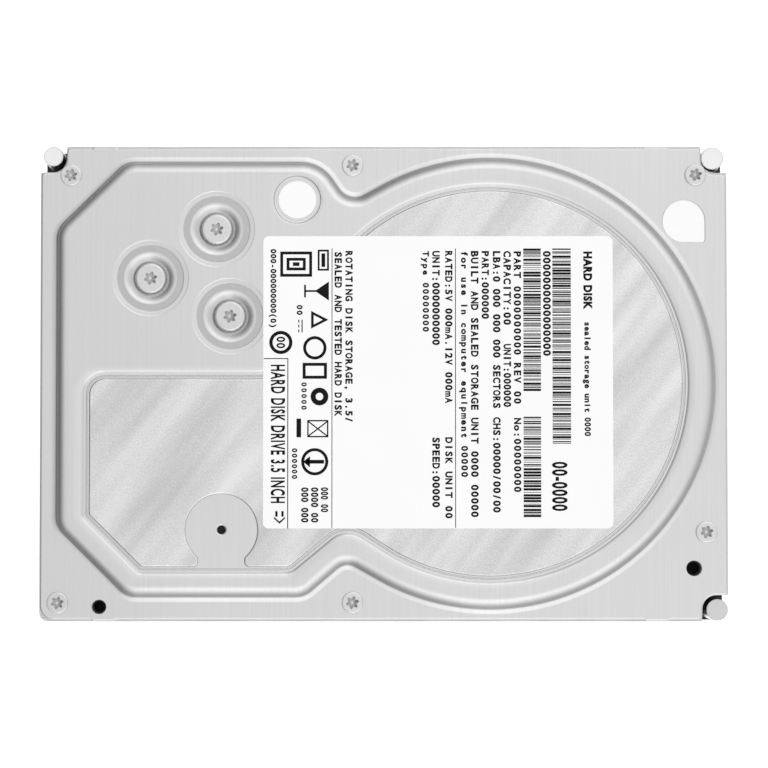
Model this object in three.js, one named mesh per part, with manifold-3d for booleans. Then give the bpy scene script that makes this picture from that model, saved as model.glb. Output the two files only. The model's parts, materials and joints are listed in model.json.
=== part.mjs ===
// A 3.5-inch hard disk drive: a sealed enclosure that holds five platters on a
// spindle motor and a head stack on a voice-coil actuator, with its circuit
// board underneath. Units are millimetres. The origin is at the middle of the
// underside, +X points away from the connector end and +Z points to the label.

import * as THREE from 'three';
import { mergeVertices } from 'three/addons/utils/BufferGeometryUtils.js';
import Module from 'manifold-3d';

const wasm = await Module();
wasm.setup();

// ---------------------------------------------------------------- dimensions

const LENGTH = 147.0;
const WIDTH = 101.6;
const END_X = LENGTH / 2;
const SIDE_Y = WIDTH / 2;

// Heights above the underside.
const BOARD_BOTTOM = 2.6;
const BOARD_TOP = 3.6;
const FLOOR_UNDER = 4.2;
const FLOOR_TOP = 5.8;
const RIM_TOP = 23.9;
const COVER_UNDER = 24.0;
const FLANGE_TOP = 24.8;
const CEILING = 25.2;          // underside of the plateau
const PLATEAU_TOP = 26.0;
const LABEL_TOP = 26.1;
const REST_GAP = 0.02;     // between flat sheets that lie on each other
const ABOVE = 0.1;         // how far a cutting body runs past the face it cuts

// Plan positions of the two axes that everything else is laid out from.
const SPINDLE = [22.6, 0];
const PIVOT = [-32.84, 14.3];

// Platter stack.
const PLATTER_COUNT = 5;
const PLATTER_RADIUS = 47.5;
const PLATTER_BORE = 12.5;
const PLATTER_THICK = 1.27;
const PLATTER_PITCH = 3.3;
const FIRST_PLATTER_Z = 8.2;
const SPACER_RADIUS = 16;
const HUB_RADIUS = 12.35;

// Head stack. Its arms lie halfway between the platters, and one lies outside at each end.
const ARM_COUNT = PLATTER_COUNT + 1;
const ARM_THICK = 0.9;
const ARM_LENGTH = 37;
const FIRST_ARM_Z = FIRST_PLATTER_Z - (PLATTER_PITCH - PLATTER_THICK) / 2;
const SWAGE_X = 34.5;
const HEAD_RADIUS = 50;
const PARKED_ANGLE = -74;
const COIL_ANGLE = 182.5;        // from the arms to the coil
const STACK_BOTTOM = 6.7;
const STACK_TOP = 24.15;

// Voice-coil motor, laid out on rays from the actuator's pivot.
const VCM_ANGLE = 127;
const COIL_BOTTOM = 13.7;
const COIL_TOP = 17.1;

// Cover features.
const PLATEAU_SLOPE = 0.9;      // half the plan width of the plateau's pressed edge
const PLATEAU_SKIN = 0.8;
const PLATE_GAP = 0.85;          // from the damper plate to the edge of its recess
const PLATE_RECESS_Z = 25.62;
const CUP_FLOOR = 25.0;
const CUP_RADIUS = 8.1;
const CUP_LEDGE = 25.8;
const CUP_UNDER = 24.4;

const COVER_SCREWS = [
  [-66.94, 44.56], [-6.67, 46.65], [66.71, 44.62], [-69.51, -46.82], [-6.65, -46.76], [68.82, -31.75],
];
const YOKE_SCREWS = [[-35.68, 32.93], [-49.82, 22.43]];
const THREADED_HOLES = [[-60.68, -47.7, 1.5], [66.17, -39.49, 1.63]];
const CORNER_POSTS = [[-70.75, 48.6, 2.1], [70.35, 48.2, 2.4], [71.07, -48.34, 2.3]];
const POST_TOP = 24.7;
const POST_POCKET_Z = 11;
const NOTCH = 5.6;               // side of the square notches over the posts
const NOTCH_ROUND = 3;           // radius of their inner corners
const COVER_INSET_X = 0.2;
const END_ROUND = 1.7;           // radius of the enclosure's upright edges
const COVER_INSET_Y = 0.4;
const SEAL_THICK = 0.12;
const SEAL_HOLE_RADIUS = 1.8;
const ROUND_SEAL = [-18.45, 39.23];
const ROUND_SEAL_RADIUS = 4;
const ROUND_SEAL_RECESS_RADIUS = 5.2;
const ROUND_SEAL_FLOOR = PLATEAU_TOP - 0.3;
const CORNER_SEAL = [64.2, 34.74];
const CORNER_SEAL_RADIUS = 4.45;
const CORNER_SEAL_RECESS_RADIUS = 4.85;
const CORNER_SEAL_FLOOR = FLANGE_TOP - 0.3;
const BREATHER = [-34.6, -31.3];
const BREATHER_RADIUS = 0.9;
const KEYHOLE_RADIUS = 7.65;
const KEYHOLE_NECK_HALF = 4.9;

// Screws: radii of the heads, of the clearance holes in the cover and of the threads below.
const COVER_SCREW_HEAD = 2.3;
const COVER_SCREW_CLEARANCE = 1.55;
const COVER_SCREW_THREAD = 1.45;
const YOKE_SCREW_HEAD = 3.3;
const YOKE_SCREW_CLEARANCE = 1.7;
const YOKE_SCREW_SHANK = 1.45;
const BOARD_SCREW_CLEARANCE = 1.2;

// Mounting holes of the 3.5-inch form factor, measured from the connector end.
const SIDE_HOLE_X = [28.5, 70.1, 130.1].map((d) => d - END_X);
const SIDE_HOLE_Z = 6.35;
const SIDE_HOLE_DEPTH = 3;
const BOTTOM_HOLE_X = [41.28, 85.73].map((d) => d - END_X);
const BOTTOM_HOLE_Y = 47.625;
const MOUNT_HOLE_RADIUS = 1.6;

const CONNECTOR_Y = -20.68;
const CONNECTOR_WIDTH = 42.74;
const CONNECTOR_DEPTH = 9.3;
const CONNECTOR_BOTTOM = 0.9;
const CONNECTOR_TOP = 7.2;

// ------------------------------------------------------------ plan outlines

const ROUND_TOLERANCE = 0.1;
const radians = (degrees) => (degrees * Math.PI) / 180;

function polar([x, y], radius, degrees) {
  return [x + radius * Math.cos(radians(degrees)), y + radius * Math.sin(radians(degrees))];
}

// Points along an arc, close enough together to stay within the tolerance.
function arc(centre, radius, from, to) {
  const step = (2 * Math.acos(1 - ROUND_TOLERANCE / Math.max(radius, 1)) * 180) / Math.PI;
  const count = Math.max(2, Math.ceil(Math.abs(to - from) / step));
  return Array.from({ length: count + 1 }, (_, i) => polar(centre, radius, from + ((to - from) * i) / count));
}

// The fillet of one corner, between the points before and after it.
function fillet(before, [x, y, radius], after) {
  if (!radius) return [[x, y]];
  const unit = ([px, py]) => {
    const length = Math.hypot(px - x, py - y);
    return [(px - x) / length, (py - y) / length];
  };
  const [a, b] = [unit(before), unit(after)];
  const half = Math.acos(a[0] * b[0] + a[1] * b[1]) / 2;
  const reach = radius / Math.sin(half);
  const middle = [a[0] + b[0], a[1] + b[1]];
  const scale = reach / Math.hypot(...middle);
  const centre = [x + middle[0] * scale, y + middle[1] * scale];
  const along = radius / Math.tan(half);
  const angle = ([ux, uy]) => {
    const [dx, dy] = [x + ux * along - centre[0], y + uy * along - centre[1]];
    return (Math.atan2(dy, dx) * 180) / Math.PI;
  };
  const start = angle(a);
  let sweep = angle(b) - start;
  if (sweep > 180) sweep -= 360;
  if (sweep < -180) sweep += 360;
  return arc(centre, radius, start, start + sweep);
}

// A closed outline from corners [x, y, fillet radius] and, where a corner is an
// object, the arc { centre, radius, from, to }.
function outline(corners) {
  const ends = corners.map((c) => (Array.isArray(c) ? [c, c] : [
    polar(c.centre, c.radius, c.from), polar(c.centre, c.radius, c.to),
  ]));
  return corners.flatMap((corner, i) => {
    if (!Array.isArray(corner)) return arc(corner.centre, corner.radius, corner.from, corner.to);
    const before = ends[(i + corners.length - 1) % corners.length][1];
    const after = ends[(i + 1) % corners.length][0];
    return fillet(before, corner, after);
  });
}

// The same outline moved outwards by a distance, for an anticlockwise outline.
function grown(loop, distance) {
  return loop.map((point, i) => {
    const before = loop[(i + loop.length - 1) % loop.length];
    const after = loop[(i + 1) % loop.length];
    const normal = (p, q) => {
      const length = Math.hypot(q[0] - p[0], q[1] - p[1]);
      return [(q[1] - p[1]) / length, (p[0] - q[0]) / length];
    };
    const [a, b] = [normal(before, point), normal(point, after)];
    const scale = distance / (1 + a[0] * b[0] + a[1] * b[1]);
    return [point[0] + (a[0] + b[0]) * scale, point[1] + (a[1] + b[1]) * scale];
  });
}

function sector(centre, inner, outer, from, to) {
  return [...arc(centre, outer, from, to), ...arc(centre, inner, to, from)];
}

function rectangle(x0, x1, y0, y1, radius = 0) {
  return outline([[x0, y0, radius], [x1, y0, radius], [x1, y1, radius], [x0, y1, radius]]);
}

// Edge of the cover's raised plateau. The sealed chamber below has the same shape.
const PLATEAU = outline([
  { centre: SPINDLE, radius: 48, from: -119.2, to: 118.9 },
  [-7.4, 38.3, 4.3], [-13.61, 47.17, 8], [-55.05, 47.17, 5], [-69.65, 32.9, 5],
  [-69.65, -30.5, 5], [-54.7, -45.4, 5], [-16.96, -45.4, 5], [-8.1, -37.8, 3.6],
]);

const DAMPER = outline([
  { centre: SPINDLE, radius: 41.2, from: -122, to: 158 },
  [-21.45, 0.95, 8.6], [-62.85, 0.95, 3.4], [-62.85, -28, 0.5],
  [-51.65, -39.2, 0.5], [-20.2, -39.2, 2.5], [-8.1, -29.2, 6.8],
]);

const LABEL = rectangle(-25.7, 48.9, -31, 31.4, 1);

const BOARD_MOTOR_RADIUS = 17;
const BOARD = outline([
  [-63.4, -43, 1.5], [29, -43, 2], [29, -17.5, 2], [22.6, -17.5, 0],
  { centre: SPINDLE, radius: BOARD_MOTOR_RADIUS, from: 262, to: 142 },
  [9.2, 18, 2], [9.2, 43, 2], [-63.4, 43, 1.5],
]);

// ------------------------------------------------------------ solid helpers

function signedVolume(positions, triangles) {
  const corner = (i) => new THREE.Vector3().fromArray(positions, triangles[i] * 3);
  let sum = 0;
  for (let i = 0; i < triangles.length; i += 3) sum += corner(i).dot(corner(i + 1).cross(corner(i + 2)));
  return sum;
}

function toSolid(geometry) {
  geometry.deleteAttribute('normal');
  geometry.deleteAttribute('uv');
  const merged = mergeVertices(geometry, 1e-4);
  const positions = merged.attributes.position.array;
  const triangles = [];
  for (let i = 0; i < merged.index.count; i += 3) {
    const [a, b, c] = merged.index.array.slice(i, i + 3);
    if (a !== b && b !== c && c !== a) triangles.push(a, b, c);
  }
  if (signedVolume(positions, triangles) < 0) triangles.reverse();
  return new wasm.Manifold(new wasm.Mesh({
    numProp: 3, vertProperties: positions, triVerts: new Uint32Array(triangles),
  }));
}

const vectors = (loop) => loop.map(([x, y]) => new THREE.Vector2(x, y));

function prism(loop, bottom, top, holes = []) {
  const shape = new THREE.Shape(vectors(loop));
  shape.holes = holes.map((hole) => new THREE.Path(vectors(hole)));
  const geometry = new THREE.ExtrudeGeometry(shape, { depth: top - bottom, bevelEnabled: false });
  return toSolid(geometry.translate(0, 0, bottom));
}

// A body with sloping sides between two outlines that have the same number of points.
function taper(lower, bottom, upper, top) {
  const count = lower.length;
  const raised = (loop, z) => loop.flatMap(([x, y]) => [x, y, z]);
  const positions = [...raised(lower, bottom), ...raised(upper, top)];
  const index = [];
  for (let i = 0; i < count; i += 1) {
    const next = (i + 1) % count;
    index.push(i, next, count + next, i, count + next, count + i);
  }
  for (const [a, b, c] of THREE.ShapeUtils.triangulateShape(vectors(lower), [])) index.push(c, b, a);
  for (const [a, b, c] of THREE.ShapeUtils.triangulateShape(vectors(upper), [])) {
    index.push(count + a, count + b, count + c);
  }
  const geometry = new THREE.BufferGeometry();
  geometry.setAttribute('position', new THREE.Float32BufferAttribute(positions, 3));
  geometry.setIndex(index);
  return toSolid(geometry);
}

function drum([x, y], radius, bottom, top, sides = 14) {
  const geometry = new THREE.CylinderGeometry(radius, radius, top - bottom, sides);
  return toSolid(geometry.rotateX(Math.PI / 2).translate(x, y, (bottom + top) / 2));
}

// A body of revolution from [radius, height] points, about a vertical axis.
function turned(profile, sides, [x, y] = [0, 0]) {
  const geometry = new THREE.LatheGeometry(vectors(profile), sides);
  return toSolid(geometry.rotateX(Math.PI / 2).translate(x, y, 0));
}

function ring(inner, outer, bottom, top, sides) {
  return turned([[inner, bottom], [outer, bottom], [outer, top], [inner, top], [inner, bottom]], sides);
}

function block(x0, x1, y0, y1, z0, z1) {
  const geometry = new THREE.BoxGeometry(x1 - x0, y1 - y0, z1 - z0);
  return toSolid(geometry.translate((x0 + x1) / 2, (y0 + y1) / 2, (z0 + z1) / 2));
}

const joined = (...bodies) => bodies.reduce((whole, body) => whole.add(body));
const cut = (body, ...tools) => tools.reduce((rest, tool) => rest.subtract(tool), body);

// ---------------------------------------------------------------- materials

function finish(color, roughness, metalness) {
  return new THREE.MeshStandardMaterial({ color, roughness, metalness, flatShading: true });
}

const MATERIALS = {
  casting: finish(0x2b2c2e, 0.6, 0.4),
  cover: finish(0xc9cacb, 0.42, 0.9),
  damper: finish(0xcfd0d1, 0.38, 0.95),
  steel: finish(0xb9babc, 0.3, 1),
  platter: finish(0xd5d7da, 0.06, 1),
  aluminium: finish(0xc4c6c9, 0.35, 0.95),
  magnet: finish(0x9d9fa2, 0.25, 0.95),
  copper: finish(0xb4653a, 0.35, 0.9),
  gasket: finish(0x1b1b1c, 0.9, 0),
  label: finish(0xf7f7f5, 0.5, 0),
  board: finish(0x1f4d38, 0.5, 0.05),
  chip: finish(0x17181a, 0.55, 0),
  connector: finish(0x121314, 0.5, 0),
  plastic: finish(0xe6e2d6, 0.5, 0),
  filter: finish(0xf1f0ec, 0.95, 0),
  foam: finish(0x3a3b3d, 0.95, 0),
  polyimide: finish(0x9a5a1c, 0.4, 0.1),
};

function piece(parent, name, solid, material, position = [0, 0, 0], turn = 0) {
  const { vertProperties, triVerts } = solid.getMesh();
  const geometry = new THREE.BufferGeometry();
  geometry.setAttribute('position', new THREE.BufferAttribute(new Float32Array(vertProperties), 3));
  geometry.setIndex(new THREE.BufferAttribute(new Uint32Array(triVerts), 1));
  geometry.computeVertexNormals();
  const mesh = new THREE.Mesh(geometry, MATERIALS[material]);
  mesh.name = name;
  mesh.position.set(...position);
  mesh.rotation.z = turn;
  parent.add(mesh);
}

// ---------------------------------------------------------------- enclosure

const SATA_NOTCH_X = -END_X + CONNECTOR_DEPTH + 0.8;
const SHELF_TOP = 9.2;
const GASKET_INNER = 1;
const GASKET_OUTER = 2;
const GASKET_FLOOR = 23.3;
const CHAMBER_GROWTH = 0.2;
const MOTOR_BORE = 10.1;
const MOTOR_RECESS = 13.5;
const BOARD_SCREWS = [[-58, 38.5], [4, 38.5], [-46, -38.5], [24, -38.5]];
const FEEDTHROUGH = [-56, -50, -24, -12];
const UNDERSIDE_Z = 1.4;
const RIB_HALF = 0.9;
const RIM_HOLE_Z = 15;           // bottom of the holes in the casting's rim

// The square corner cleared for a post, with its inner corner rounded.
function cornerNotch([x, y], bottom, top) {
  const [sx, sy] = [Math.sign(x), Math.sign(y)];
  const [nearX, farX] = [sx * (END_X - NOTCH), sx * (END_X + ABOVE)];
  const [nearY, farY] = [sy * (SIDE_Y - NOTCH), sy * (SIDE_Y + ABOVE)];
  const loop = outline([[nearX, nearY, NOTCH_ROUND], [farX, nearY, 0], [farX, farY, 0], [nearX, farY, 0]]);
  return prism(loop, bottom, top);
}

function sideHole(x, side) {
  const sides = 14;
  const [radius, height] = [MOUNT_HOLE_RADIUS, 2 * SIDE_HOLE_DEPTH];
  const geometry = new THREE.CylinderGeometry(radius, radius, height, sides);
  return toSolid(geometry.translate(x, side * SIDE_Y, SIDE_HOLE_Z));
}

// Shallow pockets that leave a raised pad round each side hole and a rail along the top and bottom.
function sidePockets(side) {
  const depth = 0.5;
  const [inner, outer] = [side * (SIDE_Y - depth), side * (SIDE_Y + ABOVE)];
  const [y0, y1] = [Math.min(inner, outer), Math.max(inner, outer)];
  const pad = 6.5;
  const [lowRail, shelf, highRail] = [2.2, 12.6, 21.5];
  const [first, second, third] = SIDE_HOLE_X;
  return [
    block(first - pad + 2, third + 5.4, y0, y1, shelf, highRail),
    block(first + pad, second - pad, y0, y1, lowRail, shelf + ABOVE),
    block(second + pad, third - pad, y0, y1, lowRail, shelf + ABOVE),
  ];
}

// Ring pockets under the platters, split by radial ribs.
function undersidePockets() {
  const pocketTop = 3.4;
  const sides = 28;
  const spokes = joined(...[0, 36, 72, 108, 144].map((degrees) => {
    const bar = new THREE.BoxGeometry(2 * PLATTER_RADIUS, 2 * RIB_HALF, 2 * pocketTop);
    return toSolid(bar.rotateZ(radians(degrees)).translate(...SPINDLE, pocketTop));
  }));
  const rings = [[19, 27], [29, 38]].map(([inner, outer]) => (
    cut(
      drum(SPINDLE, outer, UNDERSIDE_Z - ABOVE, pocketTop, sides),
      drum(SPINDLE, inner, 0, FLOOR_UNDER, sides))));
  const zone = block(10.5, 66, -40, 40, 0, FLOOR_UNDER);
  const boardSide = prism(grown(BOARD, 2.2), 0, FLOOR_UNDER);
  return rings.map((body) => cut(body.intersect(zone), spokes, boardSide));
}

function baseCasting() {
  const outer = rectangle(-END_X, END_X, -SIDE_Y, SIDE_Y, END_ROUND);
  const notchHalf = CONNECTOR_WIDTH / 2 + 0.35;
  const connectorNotch = block(
    -END_X - ABOVE, SATA_NOTCH_X, CONNECTOR_Y - notchHalf, CONNECTOR_Y + notchHalf,
    -ABOVE, CONNECTOR_TOP + 0.4);
  const shelf = block(
    -END_X + 2, SATA_NOTCH_X + 1.4, CONNECTOR_Y - notchHalf - 2, CONNECTOR_Y + notchHalf + 2,
    FLOOR_UNDER, SHELF_TOP);
  const body = cut(
    prism(outer, 0, RIM_TOP),
    prism(grown(PLATEAU, CHAMBER_GROWTH), FLOOR_TOP, RIM_TOP + ABOVE),
    prism(grown(PLATEAU, GASKET_OUTER + ABOVE), GASKET_FLOOR, RIM_TOP + ABOVE,
      [grown(PLATEAU, GASKET_INNER - ABOVE)]),
    ...CORNER_POSTS.map((post) => cornerNotch(post, POST_POCKET_Z, RIM_TOP + ABOVE)));
  const posts = CORNER_POSTS.map(([x, y, radius]) => drum([x, y], radius, POST_POCKET_Z - 1, POST_TOP));
  const [fx0, fx1, fy0, fy1] = FEEDTHROUGH;
  return cut(
    joined(body, shelf, ...posts),
    connectorNotch,
    prism(grown(BOARD, 0.8), -ABOVE, FLOOR_UNDER),
    prism(rectangle(9.5, 66, -40.5, 40.5, 3), -ABOVE, UNDERSIDE_Z),
    ...undersidePockets(),
    drum(SPINDLE, MOTOR_RECESS, -ABOVE, FLOOR_UNDER, 28),
    drum(SPINDLE, MOTOR_BORE, FLOOR_UNDER - ABOVE, FLOOR_TOP + ABOVE, 28),
    block(fx0, fx1, fy0, fy1, FLOOR_UNDER - ABOVE, FLOOR_TOP + ABOVE),
    ...COVER_SCREWS.map((at) => drum(at, COVER_SCREW_THREAD, RIM_HOLE_Z, RIM_TOP + ABOVE, 10)),
    ...THREADED_HOLES.map(([x, y, radius]) => drum([x, y], radius, RIM_HOLE_Z, RIM_TOP + ABOVE, 12)),
    drum(CORNER_SEAL, SEAL_HOLE_RADIUS, RIM_HOLE_Z, RIM_TOP + ABOVE, 12),
    ...BOARD_SCREWS.map((at) => drum(at, 1.15, FLOOR_UNDER - ABOVE, 5.3, 8)),
    ...SIDE_HOLE_X.flatMap((x) => [sideHole(x, 1), sideHole(x, -1)]),
    ...BOTTOM_HOLE_X.flatMap((x) => [-1, 1].map((side) => (
      drum([x, side * BOTTOM_HOLE_Y], MOUNT_HOLE_RADIUS, -ABOVE, 5.2)))),
    ...sidePockets(1), ...sidePockets(-1));
}

function teardrop(radius) {
  const [x, y] = CORNER_SEAL;
  return outline([
    { centre: CORNER_SEAL, radius, from: 0, to: 270 },
    [x + radius, y - radius, 0.5],
  ]);
}

function topCover() {
  const [endX, sideY] = [END_X - COVER_INSET_X, SIDE_Y - COVER_INSET_Y];
  const flange = prism(rectangle(-endX, endX, -sideY, sideY, END_ROUND), COVER_UNDER, FLANGE_TOP);
  const plateau = taper(
    grown(PLATEAU, PLATEAU_SLOPE), COVER_UNDER, grown(PLATEAU, -PLATEAU_SLOPE), PLATEAU_TOP);
  const hollow = taper(
    grown(PLATEAU, PLATEAU_SLOPE - PLATEAU_SKIN), COVER_UNDER - ABOVE,
    grown(PLATEAU, -PLATEAU_SLOPE - PLATEAU_SKIN), CEILING);
  const recessSkin = 0.5;
  const recessBoss = prism(grown(DAMPER, PLATE_GAP + recessSkin), CEILING - 0.3, CEILING + ABOVE);
  const cups = [...YOKE_SCREWS, PIVOT];
  const cupBosses = cups.map((at) => drum(at, 6.4, CUP_UNDER, CEILING + ABOVE, 20));
  const cupHollows = cups.map((at) => turned([
    [0, CUP_FLOOR], [3.9, CUP_FLOOR], [5.5, CUP_LEDGE], [7.1, CUP_LEDGE], [CUP_RADIUS, PLATEAU_TOP + 0.02],
    [CUP_RADIUS, PLATEAU_TOP + ABOVE], [0, PLATEAU_TOP + ABOVE],
  ], 16, at));
  return cut(
    joined(cut(joined(flange, plateau), hollow), recessBoss, ...cupBosses),
    prism(grown(DAMPER, PLATE_GAP), PLATE_RECESS_Z, PLATEAU_TOP + ABOVE),
    ...cupHollows,
    ...cups.map((at) => drum(at, YOKE_SCREW_CLEARANCE, COVER_UNDER - ABOVE, CUP_FLOOR + ABOVE, 10)),
    ...COVER_SCREWS.map((at) => (
      drum(at, COVER_SCREW_CLEARANCE, COVER_UNDER - ABOVE, FLANGE_TOP + ABOVE, 10))),
    ...THREADED_HOLES.map(([x, y, radius]) => (
      drum([x, y], radius, COVER_UNDER - ABOVE, FLANGE_TOP + ABOVE, 12))),
    drum(ROUND_SEAL, ROUND_SEAL_RECESS_RADIUS, ROUND_SEAL_FLOOR, PLATEAU_TOP + ABOVE, 20),
    drum(ROUND_SEAL, SEAL_HOLE_RADIUS, COVER_UNDER, PLATEAU_TOP, 10),
    prism(teardrop(CORNER_SEAL_RECESS_RADIUS), CORNER_SEAL_FLOOR, FLANGE_TOP + ABOVE),
    drum(CORNER_SEAL, SEAL_HOLE_RADIUS, COVER_UNDER - ABOVE, FLANGE_TOP, 10),
    drum(BREATHER, BREATHER_RADIUS, COVER_UNDER, PLATEAU_TOP, 8),
    ...CORNER_POSTS.map((post) => cornerNotch(post, COVER_UNDER - ABOVE, FLANGE_TOP + ABOVE)));
}

function damperPlate() {
  const [x, y] = BREATHER;
  const bottom = PLATE_RECESS_Z + 2 * REST_GAP;
  const keyhole = joined(
    drum(BREATHER, KEYHOLE_RADIUS, bottom - ABOVE, PLATEAU_TOP, 20),
    block(x - KEYHOLE_NECK_HALF, x + KEYHOLE_NECK_HALF, y - 12, y, bottom - ABOVE, PLATEAU_TOP));
  return cut(prism(DAMPER, bottom, PLATEAU_TOP - 2 * REST_GAP), keyhole);
}

// A six-lobe socket for the driver.
function lobeSocket(radius, bottom, top) {
  const loop = Array.from({ length: 12 }, (_, i) => polar([0, 0], i % 2 ? radius * 0.78 : radius, i * 30));
  return prism(loop, bottom, top);
}

// A machine screw with its seat at height zero.
function screw(headRadius, headHeight, shankRadius, shankLength) {
  const edge = 0.2;
  const body = turned([
    [0, -shankLength], [shankRadius, -shankLength], [shankRadius, 0], [headRadius, 0],
    [headRadius, headHeight - edge], [headRadius - edge, headHeight], [0, headHeight],
  ], 12);
  return cut(body, lobeSocket(1.25, headHeight - 0.55, headHeight + ABOVE));
}

function sataConnector() {
  const [half, x0, x1] = [CONNECTOR_WIDTH / 2, -END_X + 0.3, -END_X + CONNECTOR_DEPTH];
  const [z0, z1] = [CONNECTOR_BOTTOM, CONNECTOR_TOP];
  const backX = x1 - 2.2;
  const segments = [[-16.72, 4.18], [6.48, 16.7]];     // power, then signal, from the connector's middle
  const [moat, wellBottom, wellTop] = [1.1, 1.7, 6.4];
  const wells = segments.map(([a, b]) => (
    block(x0 - ABOVE, backX, CONNECTOR_Y + a - moat, CONNECTOR_Y + b + moat, wellBottom, wellTop)));
  const tongues = segments.map(([a, b]) => joined(
    block(x0 + 0.5, backX + ABOVE, CONNECTOR_Y + a, CONNECTOR_Y + b, 4.0, 5.2),
    block(x0 + 0.5, backX + ABOVE, CONNECTOR_Y + a, CONNECTOR_Y + a + 1.2, 2.8, 5.2)));
  const body = cut(block(x0, x1, CONNECTOR_Y - half, CONNECTOR_Y + half, z0, z1), ...wells);
  const guides = [-1, 1].map((side) => {
    const middle = CONNECTOR_Y + side * (half - 1.4);
    return block(x0 - ABOVE, x0 + 5, middle - 0.6, middle + 0.6, 2.6, z1 + ABOVE);
  });
  return cut(joined(body, ...tongues), ...guides);
}

function boardInsulator() {
  const [x0, x1, y0, y1] = FEEDTHROUGH;
  return cut(
    prism(grown(BOARD, -1.2), BOARD_TOP + 0.05, FLOOR_UNDER - 0.05),
    block(x0, x1, y0, y1, BOARD_TOP, FLOOR_UNDER),
    ...BOARD_SCREWS.map((at) => drum(at, 2, BOARD_TOP, FLOOR_UNDER, 8)));
}

function circuitBoard() {
  return cut(
    prism(BOARD, BOARD_BOTTOM, BOARD_TOP),
    ...BOARD_SCREWS.map((at) => drum(at, BOARD_SCREW_CLEARANCE, 0, FLOOR_UNDER, 10)));
}

function addEnclosure(group) {
  piece(group, 'base_casting', baseCasting(), 'casting');
  piece(group, 'top_cover', topCover(), 'cover');
  const gasket = prism(
    grown(PLATEAU, GASKET_OUTER), GASKET_FLOOR + REST_GAP, COVER_UNDER - REST_GAP,
    [grown(PLATEAU, GASKET_INNER)]);
  piece(group, 'cover_gasket', gasket, 'gasket');
  piece(group, 'damper_plate', damperPlate(), 'damper');
  piece(group, 'product_label', prism(LABEL, PLATEAU_TOP + REST_GAP, LABEL_TOP), 'label');
  const roundSealZ = ROUND_SEAL_FLOOR + REST_GAP;
  const cornerSealZ = CORNER_SEAL_FLOOR + REST_GAP;
  const cornerSeal = prism(teardrop(CORNER_SEAL_RADIUS), cornerSealZ, cornerSealZ + SEAL_THICK);
  const roundSeal = drum(ROUND_SEAL, ROUND_SEAL_RADIUS, roundSealZ, roundSealZ + SEAL_THICK, 20);
  piece(group, 'round_seal', roundSeal, 'label');
  piece(group, 'corner_seal', cornerSeal, 'label');
  COVER_SCREWS.forEach(([x, y], i) => {
    const body = screw(COVER_SCREW_HEAD, 0.75, COVER_SCREW_THREAD - 0.15, 8.5);
    piece(group, `cover_screw_${i + 1}`, body, 'steel', [x, y, FLANGE_TOP + REST_GAP]);
  });
  YOKE_SCREWS.forEach(([x, y], i) => {
    const body = screw(YOKE_SCREW_HEAD, 0.8, YOKE_SCREW_SHANK, 3);
    piece(group, `yoke_screw_${i + 1}`, body, 'steel', [x, y, CUP_FLOOR + REST_GAP]);
  });
  const pivotScrew = screw(YOKE_SCREW_HEAD, 0.8, YOKE_SCREW_SHANK, 6);
  piece(group, 'pivot_screw', pivotScrew, 'steel', [...PIVOT, CUP_FLOOR + REST_GAP]);
  piece(group, 'breather_filter', drum(BREATHER, 5.2, 21.8, 24.85, 20), 'filter');
  const sideFilter = block(-5, 5, -1.2, 1.2, 6.2, 19.5);
  piece(group, 'recirculation_filter', sideFilter, 'filter', [-14, 36.5, 0], radians(45));
}

function addElectronics(group) {
  piece(group, 'circuit_board', circuitBoard(), 'board');
  piece(group, 'sata_connector', sataConnector(), 'connector');
  piece(group, 'board_insulator', boardInsulator(), 'foam');
  const face = BOARD_BOTTOM - REST_GAP;
  BOARD_SCREWS.forEach(([x, y], i) => {
    const body = turned([
      [0, -0.7], [1.9, -0.7], [2.1, -0.5], [2.1, 0], [1, 0], [1, 2.5], [0, 2.5],
    ], 10);
    piece(group, `board_screw_${i + 1}`, cut(body, lobeSocket(1, -1, -0.3)), 'steel', [x, y, face]);
  });
  piece(group, 'controller_chip', block(-7, 7, -7, 7, -1.3, 0), 'chip', [-36, 12, face]);
  piece(group, 'motor_driver_chip', block(-4.5, 4.5, -4.5, 4.5, -1, 0), 'chip', [-12, -24, face]);
}

// ----------------------------------------------------- spindle motor and stack

const SLEEVE_TOP = 15.5;
const SHAFT_RADIUS = 2;

function stator() {
  const toothCount = 9;
  const tooth = joined(block(7.8, 9.1, -2.2, 2.2, 9.4, 12.2), block(5, 8, -1.4, 1.4, 8.2, 13.4));
  const core = ring(4.1, 5.4, 9.4, 12.2, 18);
  return Array.from({ length: toothCount }).reduce(
    (whole, _, i) => whole.add(tooth.rotate([0, 0, (360 * i) / toothCount])), core);
}

function addMotor(group) {
  const flange = turned([
    [0, 2.4], [13, 2.4], [13, FLOOR_UNDER - 0.05], [9.9, FLOOR_UNDER - 0.05], [9.9, 6.4], [4, 6.4],
    [4, SLEEVE_TOP], [SHAFT_RADIUS + 0.08, SLEEVE_TOP], [SHAFT_RADIUS + 0.08, 3.6], [0, 3.6],
  ], 24);
  piece(group, 'motor_flange', flange, 'aluminium', [...SPINDLE, 0]);
  piece(group, 'stator', stator(), 'copper', [...SPINDLE, 0]);
}

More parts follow.
